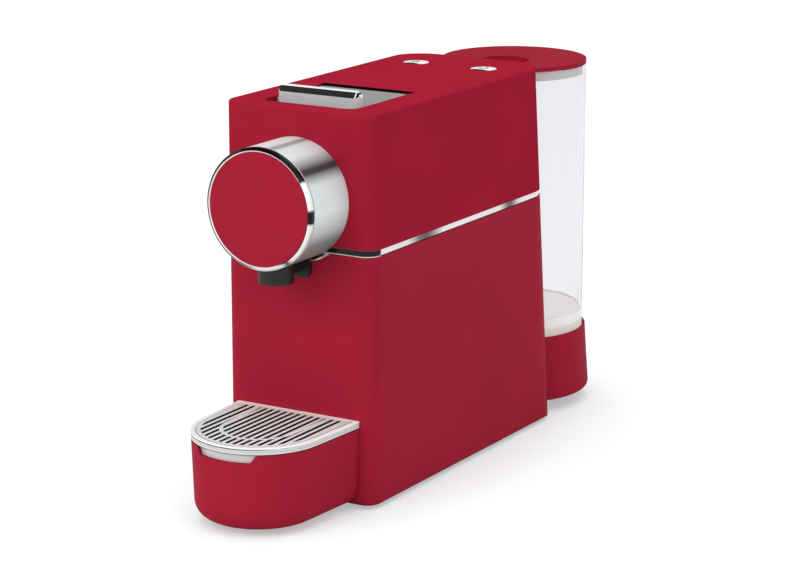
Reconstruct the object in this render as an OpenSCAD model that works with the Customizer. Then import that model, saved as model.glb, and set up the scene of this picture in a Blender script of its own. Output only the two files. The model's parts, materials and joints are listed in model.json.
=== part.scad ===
// Countertop espresso machine for paper pods: raked box body split by a bright belt, round brew nose with
// a spout, pull-out drip tray with the used-pod bin behind it, lift-up lever with a cam-driven brewing
// piston, and a round clear water tank that stands on a base behind the body.
// Frame: X across, +Y to the rear, +Z up, origin on the table under the centre of the outline.
// Modules work with y = 0 on the body's front face; home() moves them to the origin.

/* [Housing] */
// Width of the body
body_w = 116; // [106:1:130]
// Height of the body's top above the table
body_h = 265.4; // [262:0.2:275]
// Depth of the body at table level
body_d = 265.2; // [262:0.2:272]
// Lean of the rear wall, degrees
rear_rake = 5.7; // [4:0.1:6.5]
// Radius of the two front upright corners
front_corner_r = 11; // [7:0.5:16]
// Radius of the two rear upright corners
rear_corner_r = 26; // [16:0.5:30]
// Wall of the housing shells
wall = 2.6; // [2:0.1:3]
// Rounding of the top edge
top_edge_r = 2; // [1:0.25:2.5]
// Rounding of the bottom edge
bottom_edge_r = 3; // [1.5:0.25:3.5]
// Height of the housing's lower edge above the table
housing_lift = 2.4; // [1.8:0.1:3]
// Distance of the belt's lower edge below the body's top
belt_drop = 94; // [93.4:0.2:95]
// Height of the belt
belt_h = 4.6; // [3.6:0.2:5]
// How far the belt lies behind the housing faces
belt_inset = 0.9; // [0.4:0.1:1.4]

/* [Brew nose] */
// Distance of the nose axis, which is also the piston axis, below the body's top
nose_drop = 59.2; // [57.4:0.2:60.4]
// Outer radius of the nose
nose_r = 40.2; // [40:0.2:42]
// Length of the nose in front of the body
nose_len = 45.4; // [44:0.2:48]
// Radius of the flat front disc
disc_r = 37.6; // [36.6:0.1:38]
// Length of the bright rim round the disc
rim_l = 4.8; // [3.6:0.1:5.6]
// Outer radius of the bright arc under the foot of the nose
foot_ring_r = 43.2; // [42.4:0.1:44]
// Wall of the nose sleeve
sleeve_t = 1.6; // [1.2:0.1:2]
// Radius of the spout
spout_r = 11.7; // [11:0.1:13]
// Distance of the spout axis behind the front of the nose
spout_setback = 20.4; // [19.4:0.2:21.4]
// Distance of the spout's lower edge below the nose axis
spout_drop = 51.6; // [50:0.2:56]
// Half width of the spout bracket on the body
bracket_half_w = 11.3; // [10:0.1:13]
// Thickness of the spout bracket on the body
bracket_t = 3; // [2.5:0.25:5]

/* [Lever and piston] */
// Width of the lever opening in the top
recess_w = 72; // [71:0.5:75]
// Distance from the front face to the lever opening
recess_y = 13; // [12:0.5:14]
// Length of the lever opening
recess_l = 78; // [76:0.5:80]
// Radius of the front corners of the lever opening
recess_r = 8; // [5:0.5:10]
// Radius of the rear corners of the lever opening
recess_rear_r = 1.5; // [1:0.25:2.5]
// Gap all round the lever in its opening
lever_gap = 0.8; // [0.5:0.1:1]
// Thickness of the lever plate
lever_t = 4; // [3:0.25:4.5]
// How far the lever plate lies below the top
lever_drop = 1; // [0.6:0.1:1.6]
// Width of the upright grip on the lever
grip_w = 64.5; // [50:0.5:66]
// Height of the grip above the top
grip_rise = 9; // [8:0.2:13]
// Thickness of the grip
grip_t = 5; // [3.5:0.25:6]
// Rounding of the grip's upper corners
grip_top_r = 5.5; // [3:0.25:7]
// Distance of the grip behind the opening's front edge
grip_y = 13; // [12:0.5:14]
// Radius of the lever's hinge pin
hinge_r = 2; // [1.6:0.1:2.4]
// Radius of the hinge barrel round the pin
barrel_r = 4.4; // [4:0.1:4.6]
// Gap behind the hinge barrel
barrel_gap = 1.4; // [1:0.1:1.8]
// Opening angle of the lever, degrees
lever_open = 75; // [60:1:80]
// Stroke of the brewing piston
piston_stroke = 16; // [12:0.5:17]
// Radius of the cam-follower pins
follower_r = 3; // [2.5:0.1:3.4]
// Thickness of each cam plate
cam_t = 2.5; // [2:0.1:2.8]
// Radial clearance of a running pin
run_gap = 0.05; // [0.02:0.01:0.1]
// Diameter of the pod's paper rim
pod_rim_d = 61; // [58:0.5:62]
// Diameter of the pod's coffee cake
pod_d = 44; // [42:0.5:46]
// Depth of each half of the brewing chamber
cup_depth = 5; // [4:0.25:5.5]

/* [Buttons] */
// Diameter of each button
button_d = 18; // [15:0.5:20]
// Distance of each button from the centre line
button_x = 27.6; // [26:0.2:32]
// Distance of the buttons in front of the top's rear edge
button_back = 39.7; // [33.7:0.5:48.7]
// Height of the crowned button above the top
button_rise = 0.8; // [0.4:0.1:1.4]
// Travel of a button
button_travel = 1.2; // [0.8:0.1:1.5]
// Gap round each button
button_gap = 0.4; // [0.3:0.05:0.6]

/* [Drip tray drawer] */
// Radius of the tray's round front
tray_r = 44.75; // [43:0.25:46]
// Half width of the tray at the body
tray_half_w = 47.6; // [46.6:0.2:49.6]
// Reach of the tray in front of the body
tray_reach = 91; // [88:0.5:98]
// Height of the grate's top
tray_top_z = 61.2; // [59:0.2:63]
// Height of the bright rim round the grate
rim_h = 5.2; // [4.6:0.1:5.8]
// Width of the bright rim
rim_w = 3; // [2.8:0.1:3.4]
// Draft of the tray housing's sides, degrees
tray_draft = 2; // [1:0.25:2.5]
// Rounding at the foot of the tray housing
tray_foot_r = 12; // [8:0.5:13]
// Height of the tray housing's underside
tray_lift = 3; // [2:0.25:4]
// Pitch of the grate's slots
slot_pitch = 5.2; // [4.8:0.1:6]
// Width of a slot
slot_w = 2.6; // [2:0.1:3]
// Number of slots
slot_count = 17; // [9:2:17]
// Distance from the grate's edge to the curved rib
rib_inset = 15; // [12:0.5:18]
// Width of the curved rib
rib_w = 2.6; // [2:0.1:3.5]
// Thickness of the grate
grate_t = 2.6; // [2:0.1:2.8]
// Half width of the finger notch in the tray housing
notch_half_w = 23; // [18:0.5:28]
// Depth of the finger notch
notch_depth = 5.5; // [3:0.25:7]
// Width of the used-pod bin
bin_w = 76; // [70:1:80]
// Length of the used-pod bin
bin_l = 100; // [90:1:102]
// Height of the bin's underside
bin_z = 9.6; // [9.2:0.1:10.5]
// Height of the bin's rim
bin_top_z = 53.5; // [50:0.5:54.5]

/* [Water tank] */
// How far the tank's side lies inside the body's side
tank_step = 5; // [4.5:0.1:6.5]
// Wall of the tank
tank_wall = 2; // [1.6:0.1:2.4]
// Distance of the tank axis behind the foot of the body
tank_stand = 29.5; // [28.8:0.1:31.8]
// Gap round the tank in its cradle
tank_gap = 0.5; // [0.4:0.05:0.8]
// Height of the deck that the tank stands on
deck_z = 48; // [46:0.25:49]
// Height of the tank's inner floor
tank_floor_z = 70; // [69:0.5:74]
// Distance of the tank lid's top below the body's top
lid_drop = 7.1; // [5.5:0.1:11.5]
// Thickness of the lid's edge
lid_t = 3; // [2.5:0.1:3.5]
// Radius of the finger scoop in the lid
scoop_r = 18; // [14:0.5:20]
// How far the base's rim stands out from the tank
base_rim_step = 2.3; // [2:0.1:3]
// How far the base's foot stands out from the body's side
base_foot_step = 0.4; // [0:0.1:1.6]
// Height of the base's rim
base_rim_z = 57; // [54:0.5:60]
// Height of the base's underside
base_lift = 8.5; // [7:0.25:9]
// Rounding at the foot of the base
base_edge_r = 4; // [2:0.25:5]
// Radius of the nozzle under the tank
nozzle_r = 9; // [8:0.25:10]
// Travel of the tank valve
valve_travel = 3; // [2:0.25:3.5]
// Radius of the cord bush
bush_r = 6.5; // [5.5:0.25:7]
// Bore radius of the cord bush
cord_bore_r = 3.2; // [2.8:0.1:3.6]

/* [Inner parts] */
// Radius of the water hoses
hose_r = 4; // [3:0.25:4.5]
// Bend radius of the hoses
hose_bend = 10; // [8:0.5:10]
// Height of the pump axis
pump_z = 32; // [30:0.5:33]
// Radius of the pump barrel
pump_r = 11; // [9:0.5:12]
// Length of the pump barrel
pump_l = 74; // [70:1:76]
// Radius of the rubber feet
foot_r = 8; // [6:0.5:9]
// Thickness of the bottom plate
plate_t = 3; // [2.5:0.1:3.2]

/* [Hidden] */
$fn = 72;

tank_r = body_w / 2 - tank_step;
tank_y = body_d + tank_stand;
base_rim_r = tank_r + base_rim_step;
base_foot_r = body_w / 2 + base_foot_step;
home_y = (tray_reach - tank_y - base_foot_r) / 2;
far = 400;
seat_gap = 0.3;
belt_z = body_h - belt_drop;
belt_top = belt_z + belt_h;
nose_z = body_h - nose_drop;
spout_z = nose_z - spout_drop;
spout_y = nose_len - spout_setback;
lid_z = body_h - lid_drop;
button_y = body_d - body_h * tan(rear_rake) - button_back;
red = "#a52039";
black = "#2b2b2c";
silver = "#c9cbcc";
steel = "#9fa3a6";
rubber = "#3a3a3a";

module home() {
    translate([0, home_y, 0])
        children();
}

// ---------- body form ----------

// Flat cap of radius r whose upper edge is rounded by e
module rounded_cap(r, e) {
    rotate_extrude()
        intersection() {
            union() {
                square([r - e, e]);
                translate([r - e, 0])
                    circle(e);
            }
            square([r, e]);
        }
}

// Strip from x = 0 to x = l, height e, with its upper edge at x = 0 rounded
module edge_strip(l, e) {
    intersection() {
        union() {
            translate([e, 0])
                square([l - e, e]);
            translate([e, 0])
                circle(e);
        }
        square([l, e]);
    }
}

// Layer of height e that rounds the front and side edges of a block w wide and d deep
module crown(w, d, r, e) {
    translate([0, d, 0])
        rotate([90, 0, 0])
            linear_extrude(d - r)
                for (side = [0, 1])
                    mirror([side, 0])
                        translate([-w / 2, 0])
                            edge_strip(w / 2, e);
    translate([-w / 2 + r, 0, 0])
        rotate([90, 0, 90])
            linear_extrude(w - 2 * r)
                edge_strip(r, e);
    for (side = [-1, 1])
        translate([side * (w / 2 - r), r, 0])
            rounded_cap(r, e);
}

// Outline with rounded front corners; the rear stays square
module front_plan(w, d, r) {
    translate([-w / 2, r])
        square([w, d - r]);
    translate([-w / 2 + r, 0])
        square([w - 2 * r, r]);
    for (side = [-1, 1])
        translate([side * (w / 2 - r), r])
            circle(r);
}

// Block with rounded front corners, and rounded upper and lower edges where these are above 0
module front_block(w, d, r, z0, z1, e_top, e_bottom) {
    translate([0, 0, z0 + e_bottom])
        linear_extrude(z1 - z0 - e_top - e_bottom)
            front_plan(w, d, r);
    if (e_top > 0)
        translate([0, 0, z1 - e_top])
            crown(w, d, r, e_top);
    if (e_bottom > 0)
        translate([0, 0, z0 + e_bottom])
            mirror([0, 0, 1])
                crown(w, d, r, e_bottom);
}

// Leaning prism that gives the body its raked rear wall and rounded rear corners
module raked_tail(inset) {
    r = rear_corner_r - inset;
    w = body_w - 2 * inset;
    translate([0, body_d - inset / cos(rear_rake), 0])
        rotate([rear_rake, 0, 0])
            translate([0, 0, -far / 4])
                linear_extrude(far * 1.5)
                    mirror([0, 1])
                        front_plan(w, far, r);
}

// The body between two heights, its walls moved in by inset
module body_form(z0, z1, inset = 0, e_top = 0, e_bottom = 0) {
    intersection() {
        translate([0, inset, 0])
            front_block(body_w - 2 * inset, body_d + wall, front_corner_r - inset, z0, z1,
                e_top, e_bottom);
        raked_tail(inset);
    }
}

// Upright cylinder round the tank axis
module tank_round(r, z0, z1) {
    translate([0, tank_y, z0])
        cylinder(r = r, h = z1 - z0);
}

// Cylinder along the nose axis from y0 to y1
module nose_round(r, y0, y1) {
    translate([0, y0, nose_z])
        rotate([-90, 0, 0])
            cylinder(r = r, h = y1 - y0);
}

// Body of revolution about the nose axis; the outline is drawn as (radius, y)
module nose_turned() {
    translate([0, 0, nose_z])
        rotate([-90, 0, 0])
            rotate_extrude()
                children();
}

// Cylinder along X from -x1 to x1 at the given y and z
module cross_round(r, x1, y, z) {
    translate([-x1, y, z])
        rotate([0, 90, 0])
            cylinder(r = r, h = 2 * x1);
}

// ---------- housings ----------

cradle_r = tank_r + tank_gap;
top_inner = body_h - wall;
recess_y1 = recess_y + recess_l;
button_hole_r = button_d / 2 + button_gap;
head_r = 20;
button_flange_r = button_d / 2 + 1.6;
button_flange_t = 2.4;
button_stem_l = 3.2;
board_post_r = 2.5;
board_post_gap = 1;
board_post_dy = button_flange_r + board_post_gap + board_post_r;
board_t = 1.6;
board_edge = 4;
switch_h = 3.5;
switch_tip_h = 0.9;
button_board_z = top_inner - seat_gap - button_flange_t - button_stem_l - button_travel - switch_tip_h
    - switch_h - board_t;

// Outline of the lever opening, grown by g
module recess_plan(g) {
    w = recess_w + 2 * g;
    l = recess_l + 2 * g;
    translate([0, recess_y - g])
        intersection() {
            front_plan(w, l, recess_r + g);
            translate([0, l])
                mirror([0, 1])
                    front_plan(w, l, recess_rear_r + g);
        }
}

recess_lip_t = 1.2;
recess_lip_h = 9;

// Skirt that lines the front of the lever opening
module recess_skirt() {
    translate([0, 0, top_inner - recess_lip_h])
        difference() {
            linear_extrude(recess_lip_h)
                recess_plan(recess_lip_t);
            translate([0, 0, -1])
                linear_extrude(recess_lip_h + 2)
                    recess_plan(0);
            translate([-far / 2, pivot_y - 2 * barrel_r, -1])
                cube([far, far, recess_lip_h + 2]);
        }
}

module upper_housing() {
    color(red)
        home() {
            difference() {
                body_form(belt_top, body_h, 0, top_edge_r, 0);
                difference() {
                    body_form(belt_top - 1, top_inner, wall);
                    tank_round(cradle_r + wall, belt_top - 2, body_h);
                }
                tank_round(cradle_r, belt_top - 1, body_h + 1);
                translate([0, 0, top_inner - 1])
                    linear_extrude(wall + 2)
                        recess_plan(0);
                for (side = [-1, 1])
                    translate([side * button_x, button_y, top_inner - 1])
                        cylinder(r = button_hole_r, h = wall + 2);
                nose_round(head_r, -1, wall + 1);
            }
            recess_skirt();
            for (sx = [-1, 1], sy = [-1, 1])
                translate([sx * button_x, button_y + sy * board_post_dy, button_board_z + board_t])
                    cylinder(r = board_post_r, h = top_inner - button_board_z - board_t);
        }
}

plate_z = 3.4;
plate_top = plate_z + plate_t;
opening_gap = 1.2;
post_r = 4;
post_sink = 0.4;
post_x = body_w / 2 - wall - post_r + post_sink;
front_post_y = 70;
rear_post_back = 60.2;
post_y = [front_post_y, body_d - rear_post_back];
post_h = 24;
screw_r = 1.5;
screw_l = 12;
hose_hole_gap = 1;
hose_hole_l = 30;

// Passage for the inlet hose through the body's rear wall and the front wall of the base
module hose_hole() {
    translate([0, body_d - hose_hole_l, pump_z])
        rotate([-90, 0, 0])
            cylinder(r = hose_r + hose_hole_gap, h = 2 * hose_hole_l);
}

module lower_housing() {
    color(red)
        home()
            difference() {
                union() {
                    difference() {
                        body_form(housing_lift, belt_z, 0, 0, bottom_edge_r);
                        difference() {
                            body_form(housing_lift - 1, belt_z + 1, wall);
                            tank_round(cradle_r + wall, deck_z - wall, belt_z + 2);
                        }
                    }
                    for (sx = [-1, 1], y = post_y)
                        translate([sx * post_x, y, plate_top])
                            cylinder(r = post_r, h = post_h);
                }
                tank_round(cradle_r, deck_z, belt_z + 1);
                translate([-bin_w / 2 - opening_gap, -1, bin_z - opening_gap / 2])
                    cube([bin_w + 2 * opening_gap, wall + 2, bin_top_z - bin_z + opening_gap]);
                hose_hole();
                for (sx = [-1, 1], y = post_y)
                    translate([sx * post_x, y, plate_top - 1])
                        cylinder(r = screw_r, h = screw_l);
            }
}

module belt() {
    color("silver")
        home()
            difference() {
                body_form(belt_z, belt_top, belt_inset);
                body_form(belt_z - 1, belt_top + 1, wall);
                tank_round(cradle_r, belt_z - 1, belt_top + 1);
            }
}

front_foot_inset = [16, 24];
rear_foot_inset = [22, 37.2];
front_foot = [body_w / 2 - front_foot_inset[0], front_foot_inset[1]];
rear_foot = [body_w / 2 - rear_foot_inset[0], body_d - rear_foot_inset[1]];
foot_spots = [for (side = [-1, 1], spot = [front_foot, rear_foot]) [side * spot[0], spot[1]]];
foot_seat = 0.8;
foot_chamfer = 1;
vent_y = 120;
vent_count = 7;
vent_pitch = 9;
vent_l = 48;
vent_w = 3;
rail_x = 30;
rail_w = 4;
screw_head_r = 3.2;
screw_head_t = 1.4;

module bottom_plate() {
    color(black)
        home() {
            difference() {
                body_form(plate_z, plate_top, wall);
                for (spot = foot_spots)
                    translate([spot[0], spot[1], plate_z - 1])
                        cylinder(r = foot_r, h = foot_seat + 1);
                for (sx = [-1, 1], y = post_y)
                    translate([sx * post_x, y, plate_z - 1]) {
                        cylinder(r = screw_r, h = plate_t + 2);
                        cylinder(r = screw_head_r, h = screw_head_t + 1);
                    }
                for (i = [0:vent_count - 1])
                    translate([-vent_l / 2, vent_y + vent_pitch * i, plate_z - 1])
                        cube([vent_l, vent_w, plate_t + 2]);
            }
            for (side = [-1, 1])
                translate([side * rail_x - rail_w / 2, wall + 2, plate_top])
                    cube([rail_w, bin_l, bin_z - seat_gap - plate_top]);
        }
}

module feet() {
    color(rubber)
        home()
            for (spot = foot_spots)
                translate([spot[0], spot[1], 0])
                    rotate_extrude()
                        polygon([[0, 0], [foot_r - foot_chamfer, 0], [foot_r, foot_chamfer],
                            [foot_r, plate_z + foot_seat], [0, plate_z + foot_seat]]);
}

module bottom_screws() {
    color(steel)
        home()
            for (sx = [-1, 1], y = post_y)
                translate([sx * post_x, y, 0]) {
                    translate([0, 0, plate_z])
                        cylinder(r = screw_head_r, h = screw_head_t);
                    translate([0, 0, plate_z])
                        cylinder(r = screw_r, h = plate_top - plate_z + screw_l - 2);
                }
}

// ---------- brew nose ----------

core_r = nose_r - sleeve_t;
foot_ring_l = 2;
ring_shadow = 0.8;
ring_bevel = 1;
disc_t = 2.6;
core_front = nose_len - disc_t;
core_face_t = 4;
head_front = core_front - core_face_t;
coffee_r = 2.5;

// Everything below the belt
module below_belt() {
    translate([-far / 2, -far / 2, belt_z - far])
        cube(far);
}

module nose_core() {
    color(black)
        home()
            difference() {
                nose_round(core_r, -core_front, 0);
                nose_round(head_r, -head_front, 1);
                translate([0, -spout_y, spout_z])
                    cylinder(r = coffee_r, h = nose_z - spout_z - head_r + 1);
            }
}

module nose_sleeve() {
    color(silver)
        home()
            difference() {
                nose_turned()
                    translate([core_r, -nose_len + rim_l])
                        square([sleeve_t, nose_len - rim_l]);
                intersection() {
                    nose_round(nose_r + 1, -foot_ring_l - ring_shadow, 1);
                    below_belt();
                }
                translate([0, -spout_y, spout_z])
                    cylinder(r = spout_r + seat_gap, h = nose_z - spout_z);
                bracket_block(seat_gap);
                bracket_web(seat_gap);
            }
}

module nose_rim() {
    bevel = 1.3;
    inner_bevel = 0.5;
    color("silver")
        home()
            nose_turned()
                polygon([[disc_r, -core_front], [disc_r, -nose_len + inner_bevel],
                    [disc_r + inner_bevel, -nose_len], [nose_r - bevel, -nose_len],
                    [nose_r, -nose_len + bevel], [nose_r, -nose_len + rim_l],
                    [core_r, -nose_len + rim_l], [core_r, -core_front]]);
}

disc_sink = 0.6;

module front_disc() {
    color(red)
        home()
            nose_round(disc_r, -nose_len + disc_sink, -core_front);
}

module nose_foot_ring() {
    color("silver")
        home()
            intersection() {
                nose_turned()
                    polygon([[core_r, -foot_ring_l], [foot_ring_r - ring_bevel, -foot_ring_l],
                        [foot_ring_r, -foot_ring_l + ring_bevel], [foot_ring_r, 0], [core_r, 0]]);
                below_belt();
            }
}

spout_skirt = 7;
spout_wall = 2;
spout_root = 6;

module spout() {
    color(black)
        home()
            difference() {
                translate([0, -spout_y, spout_z])
                    cylinder(r = spout_r, h = nose_z - core_r - spout_z + spout_root);
                nose_round(core_r, -nose_len - 1, 1);
                translate([0, -spout_y, spout_z - 1]) {
                    cylinder(r = spout_r - spout_wall, h = spout_skirt);
                    cylinder(r = coffee_r, h = far / 8);
                }
            }
}

bracket_drop = 52.3;
bracket_z = nose_z - bracket_drop;
bracket_cut = 2.5;
bracket_root = 5;

// Plate with cut lower corners on the body's front, grown by g
module bracket_block(g) {
    rotate([90, 0, 0])
        linear_extrude(bracket_t + g)
            polygon([[-bracket_half_w - g, nose_z], [-bracket_half_w - g, bracket_z + bracket_cut],
                [-bracket_half_w + bracket_cut, bracket_z - g], [bracket_half_w - bracket_cut, bracket_z - g],
                [bracket_half_w + g, bracket_z + bracket_cut], [bracket_half_w + g, nose_z]]);
}

bracket_web_half_w = 5;
bracket_web_rise = 4;
bracket_web_root = 2;
bracket_web_z = bracket_z + bracket_web_rise;

// Web from the bracket to the spout, grown sideways by g
module bracket_web(g) {
    half_w = bracket_web_half_w + g;
    translate([-half_w, -spout_y, bracket_web_z])
        cube([2 * half_w, spout_y - bracket_t + 1, nose_z - core_r + bracket_web_root - bracket_web_z]);
}

module spout_bracket() {
    color(black)
        home()
            difference() {
                union() {
                    intersection() {
                        bracket_block(0);
                        translate([-far / 2, -far / 2, bracket_z - 1])
                            cube([far, far, nose_z - core_r + bracket_root - bracket_z]);
                    }
                    bracket_web(0);
                }
                nose_round(core_r, -nose_len, 1);
                nose_round(foot_ring_r, -foot_ring_l, 1);
                translate([0, -spout_y, spout_z - 1])
                    cylinder(r = spout_r, h = far / 8);
            }
}

// ---------- brewing group ----------

frame_x = 37.2;
frame_t = 3;
head_flange_r = 33;
head_face_y = 12;
filter_t = 1;
cup_r = pod_d / 2 + 1;
cup_lip = 1.5;
lug_h = 20;

module brew_head() {
    color("#b9bcbe")
        home()
            difference() {
                union() {
                    nose_round(head_r, -head_front, wall);
                    nose_round(head_flange_r, wall, head_face_y);
                    translate([-frame_x, wall, nose_z - lug_h / 2])
                        cube([2 * frame_x, head_face_y - wall - 1, lug_h]);
                }
                nose_round(cup_r, head_face_y - cup_depth, head_face_y + 1);
                nose_round(cup_r - cup_lip, head_face_y - cup_depth - 1, head_face_y);
                nose_round(coffee_r, -spout_y, head_face_y);
                translate([0, -spout_y, nose_z - head_r - 1])
                    cylinder(r = coffee_r, h = head_r + 1);
            }
}

sieve_pitch = 5.5;
sieve_hole_r = 0.9;

// Thin disc with rings of holes; r0 is the outer radius
module sieve(r0, y0, y1) {
    difference() {
        nose_round(r0, y0, y1);
        for (ring = [1:3], i = [0:6 * ring - 1])
            let (r = ring * sieve_pitch, a = 60 * i / ring)
                translate([r * cos(a), y0 - 1, nose_z + r * sin(a)])
                    rotate([-90, 0, 0])
                        cylinder(r = sieve_hole_r, h = y1 - y0 + 2, $fn = 16);
    }
}

module filter_disc() {
    color(steel)
        home()
            sieve(cup_r, head_face_y - cup_depth, head_face_y - cup_depth + filter_t);
}

frame_drop = 32.2;
frame_z0 = nose_z - frame_drop;
frame_y1 = 132;
frame_wall_t = 3;
frame_front_rise = 45;
frame_rear_rise = 30;
frame_wall_rise = 26;
ear_l = [8, 10];
ear_slope_l = 20;
ear_t = 0.6;
follower_y = 62;
follower_rise = 20.3;
follower_z = nose_z + follower_rise;
guide_drop = 20;
guide_z = nose_z - guide_drop;
slot_gap = 0.12;
pivot_y = recess_y1 - barrel_gap - barrel_r;
pivot_z = body_h - lever_drop - barrel_r;
tube_r = 3;
tube_bore_r = 1.5;
tube_hole_gap = 3;

// Slot along y, open over the piston's stroke
module guide_slot(z) {
    r = follower_r + slot_gap;
    for (side = [-1, 1])
        translate([side * (frame_x + frame_t / 2), 0, z]) {
            translate([-frame_t, follower_y, -r])
                cube([2 * frame_t, piston_stroke, 2 * r]);
            for (y = [follower_y, follower_y + piston_stroke])
                translate([-frame_t, y, 0])
                    rotate([0, 90, 0])
                        cylinder(r = r, h = 2 * frame_t);
        }
}

board_x = frame_x + frame_t;
standoff_l = 3;
standoff_r = 2.5;
board_span = [76, 50];
board_start_y = 24;
board_y = [board_start_y, board_start_y + board_span[0]];
board_z = [nose_z - guide_drop, nose_z - guide_drop + board_span[1]];

module brew_frame() {
    ear_z = pivot_z + hinge_r + ear_t;
    front_top = nose_z + frame_front_rise;
    color(black)
        home()
            difference() {
                union() {
                    for (side = [-1, 1])
                        translate([side * (frame_x + frame_t / 2) + frame_t / 2, 0, 0])
                            rotate([0, -90, 0])
                                linear_extrude(frame_t)
                                    polygon([[frame_z0, wall], [frame_z0, frame_y1],
                                        [nose_z + frame_rear_rise, frame_y1], [ear_z, pivot_y + ear_l[1]],
                                        [ear_z, pivot_y - ear_l[0]], [front_top, pivot_y - ear_slope_l],
                                        [front_top, wall]]);
                    translate([-frame_x - 1, frame_y1 - frame_wall_t, frame_z0])
                        cube([2 * frame_x + 2, frame_wall_t, nose_z + frame_wall_rise - frame_z0]);
                    for (y = board_y, z = board_z)
                        translate([-board_x - standoff_l, y, z])
                            rotate([0, 90, 0])
                                cylinder(r = standoff_r, h = standoff_l + 1);
                }
                guide_slot(follower_z);
                guide_slot(guide_z);
                cross_round(hinge_r, far / 4, pivot_y, pivot_z);
                nose_round(tube_r + tube_hole_gap, frame_y1 - 2 * frame_wall_t, frame_y1 + 1);
            }
}

slot_plate_drop = 19.4;
slot_plate_z = body_h - slot_plate_drop;
slot_plate_t = 2.4;
slot_plate_rim = 3;
pod_slot_l = 16;
pod_slot_step = 0.4;
pod_slot_gap = 0.8;
pod_slot_y = [recess_y + pod_slot_step, recess_y + pod_slot_step + pod_slot_l];
pod_slot_w = pod_rim_d + 2 * pod_slot_gap;

module slot_plate() {
    color(black)
        home()
            difference() {
                translate([-frame_x, wall, slot_plate_z])
                    cube([2 * frame_x, pod_slot_y[1] + slot_plate_rim - wall, slot_plate_t]);
                translate([-pod_slot_w / 2, pod_slot_y[0], slot_plate_z - 1])
                    cube([pod_slot_w, pod_slot_y[1] - pod_slot_y[0], slot_plate_t + 2]);
            }
}

chute_t = 2;
chute_y1 = 56;
chute_gap = 3;
chute_side_gap = 2;
chute_z0 = bin_top_z + chute_gap;
chute_z1 = nose_z - head_flange_r - seat_gap;

module pod_chute() {
    half_w = frame_x - chute_side_gap;
    color(black)
        home()
            difference() {
                translate([-half_w, wall, chute_z0])
                    cube([2 * half_w, chute_y1 - wall, chute_z1 - chute_z0]);
                translate([-half_w + chute_t, wall + chute_t, chute_z0 - 1])
                    cube([2 * (half_w - chute_t), chute_y1 - wall - 2 * chute_t, far / 2]);
            }
}

module lever_hinge_pin() {
    color(steel)
        home()
            cross_round(hinge_r, frame_x + frame_t, pivot_y, pivot_z);
}

// ---------- lever with its cams ----------

lever_half_w = recess_w / 2 - lever_gap;
lever_top = body_h - lever_drop;
lever_under = lever_top - lever_t;
grip_front = recess_y + grip_y;
cam_x = 32.2;
cam_side_gap = 0.2;
cam_bore_r = hinge_r + run_gap;
plate_rear_gap = 0.6;

module lever_plate() {
    front = grip_front + grip_t;
    hub_l = cam_x - cam_side_gap;
    color("#a9abad")
        home()
            difference() {
                union() {
                    translate([-lever_half_w, front, lever_under])
                        cube([2 * lever_half_w, pivot_y - barrel_r - plate_rear_gap - front, lever_t]);
                    translate([-hub_l, front, lever_under])
                        cube([2 * hub_l, pivot_y - front, lever_t]);
                    cross_round(barrel_r, hub_l, pivot_y, pivot_z);
                }
                cross_round(cam_bore_r, far / 4, pivot_y, pivot_z);
            }
}

grip_corner_r = 4;
grip_bevel = 4.5;
grip_top_w = 1.5;
grip_root = 4;

module lever_grip() {
    z0 = lever_under - grip_root;
    top = body_h + grip_rise;
    half = grip_w / 2;
    color("silver")
        home()
            intersection() {
                translate([0, grip_front, z0])
                    linear_extrude(top - z0)
                        union() {
                            translate([-half, grip_corner_r])
                                square([grip_w, grip_t - grip_corner_r]);
                            translate([-half + grip_corner_r, 0])
                                square([grip_w - 2 * grip_corner_r, grip_t]);
                            for (side = [-1, 1])
                                translate([side * (half - grip_corner_r), grip_corner_r])
                                    intersection() {
                                        circle(grip_corner_r);
                                        translate([-grip_corner_r, -grip_corner_r])
                                            square([2 * grip_corner_r, grip_t]);
                                    }
                        }
                translate([-half, grip_front, 0])
                    rotate([90, 0, 90])
                        linear_extrude(grip_w)
                            polygon([[0, z0], [grip_t, z0], [grip_t, top], [grip_t - grip_top_w, top],
                                [0, top - grip_bevel]]);
                translate([0, grip_front + grip_t, top])
                    rotate([90, 0, 0])
                        linear_extrude(grip_t)
                            mirror([0, 1])
                                front_plan(grip_w, top - z0, grip_top_r);
            }
}

// Place of the follower pin in the lever's own frame when the lever is open by a degrees
function cam_point(a) =
    let (dy = follower_y + piston_stroke * a / lever_open - pivot_y, dz = follower_z - pivot_z)
    [dy * cos(a) - dz * sin(a), dy * sin(a) + dz * cos(a)];

// The same path moved sideways by s, away from the pivot
function cam_offset(a, s) =
    let (d = cam_point(a + 1) - cam_point(a - 1), n = [d[1], -d[0]] / norm(d))
    cam_point(a) + s * n;

cam_steps = 24;
cam_margin_deg = 9;
cam_rim = 3.6;
cam_reach = 30;
cam_heel = [barrel_r - 0.5, -1];
cam_window = [-3, -18];
cam_window_r = 7;

module cam_outline() {
    s = follower_r + slot_gap + cam_rim;
    polygon(concat(
        [[-cam_reach, lever_under - pivot_z]],
        [for (i = [0:cam_steps])
            cam_offset(-cam_margin_deg + (lever_open + 2 * cam_margin_deg) * i / cam_steps, s)],
        [cam_offset(lever_open + cam_margin_deg, -s), cam_heel, [0, lever_under - pivot_z]]));
    circle(barrel_r);
}

module cam_slot() {
    s = follower_r + slot_gap;
    polygon(concat(
        [for (i = [0:cam_steps]) cam_offset(lever_open * i / cam_steps, s)],
        [for (i = [cam_steps:-1:0]) cam_offset(lever_open * i / cam_steps, -s)]));
    for (a = [0, lever_open])
        translate(cam_point(a))
            circle(s);
}

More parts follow.
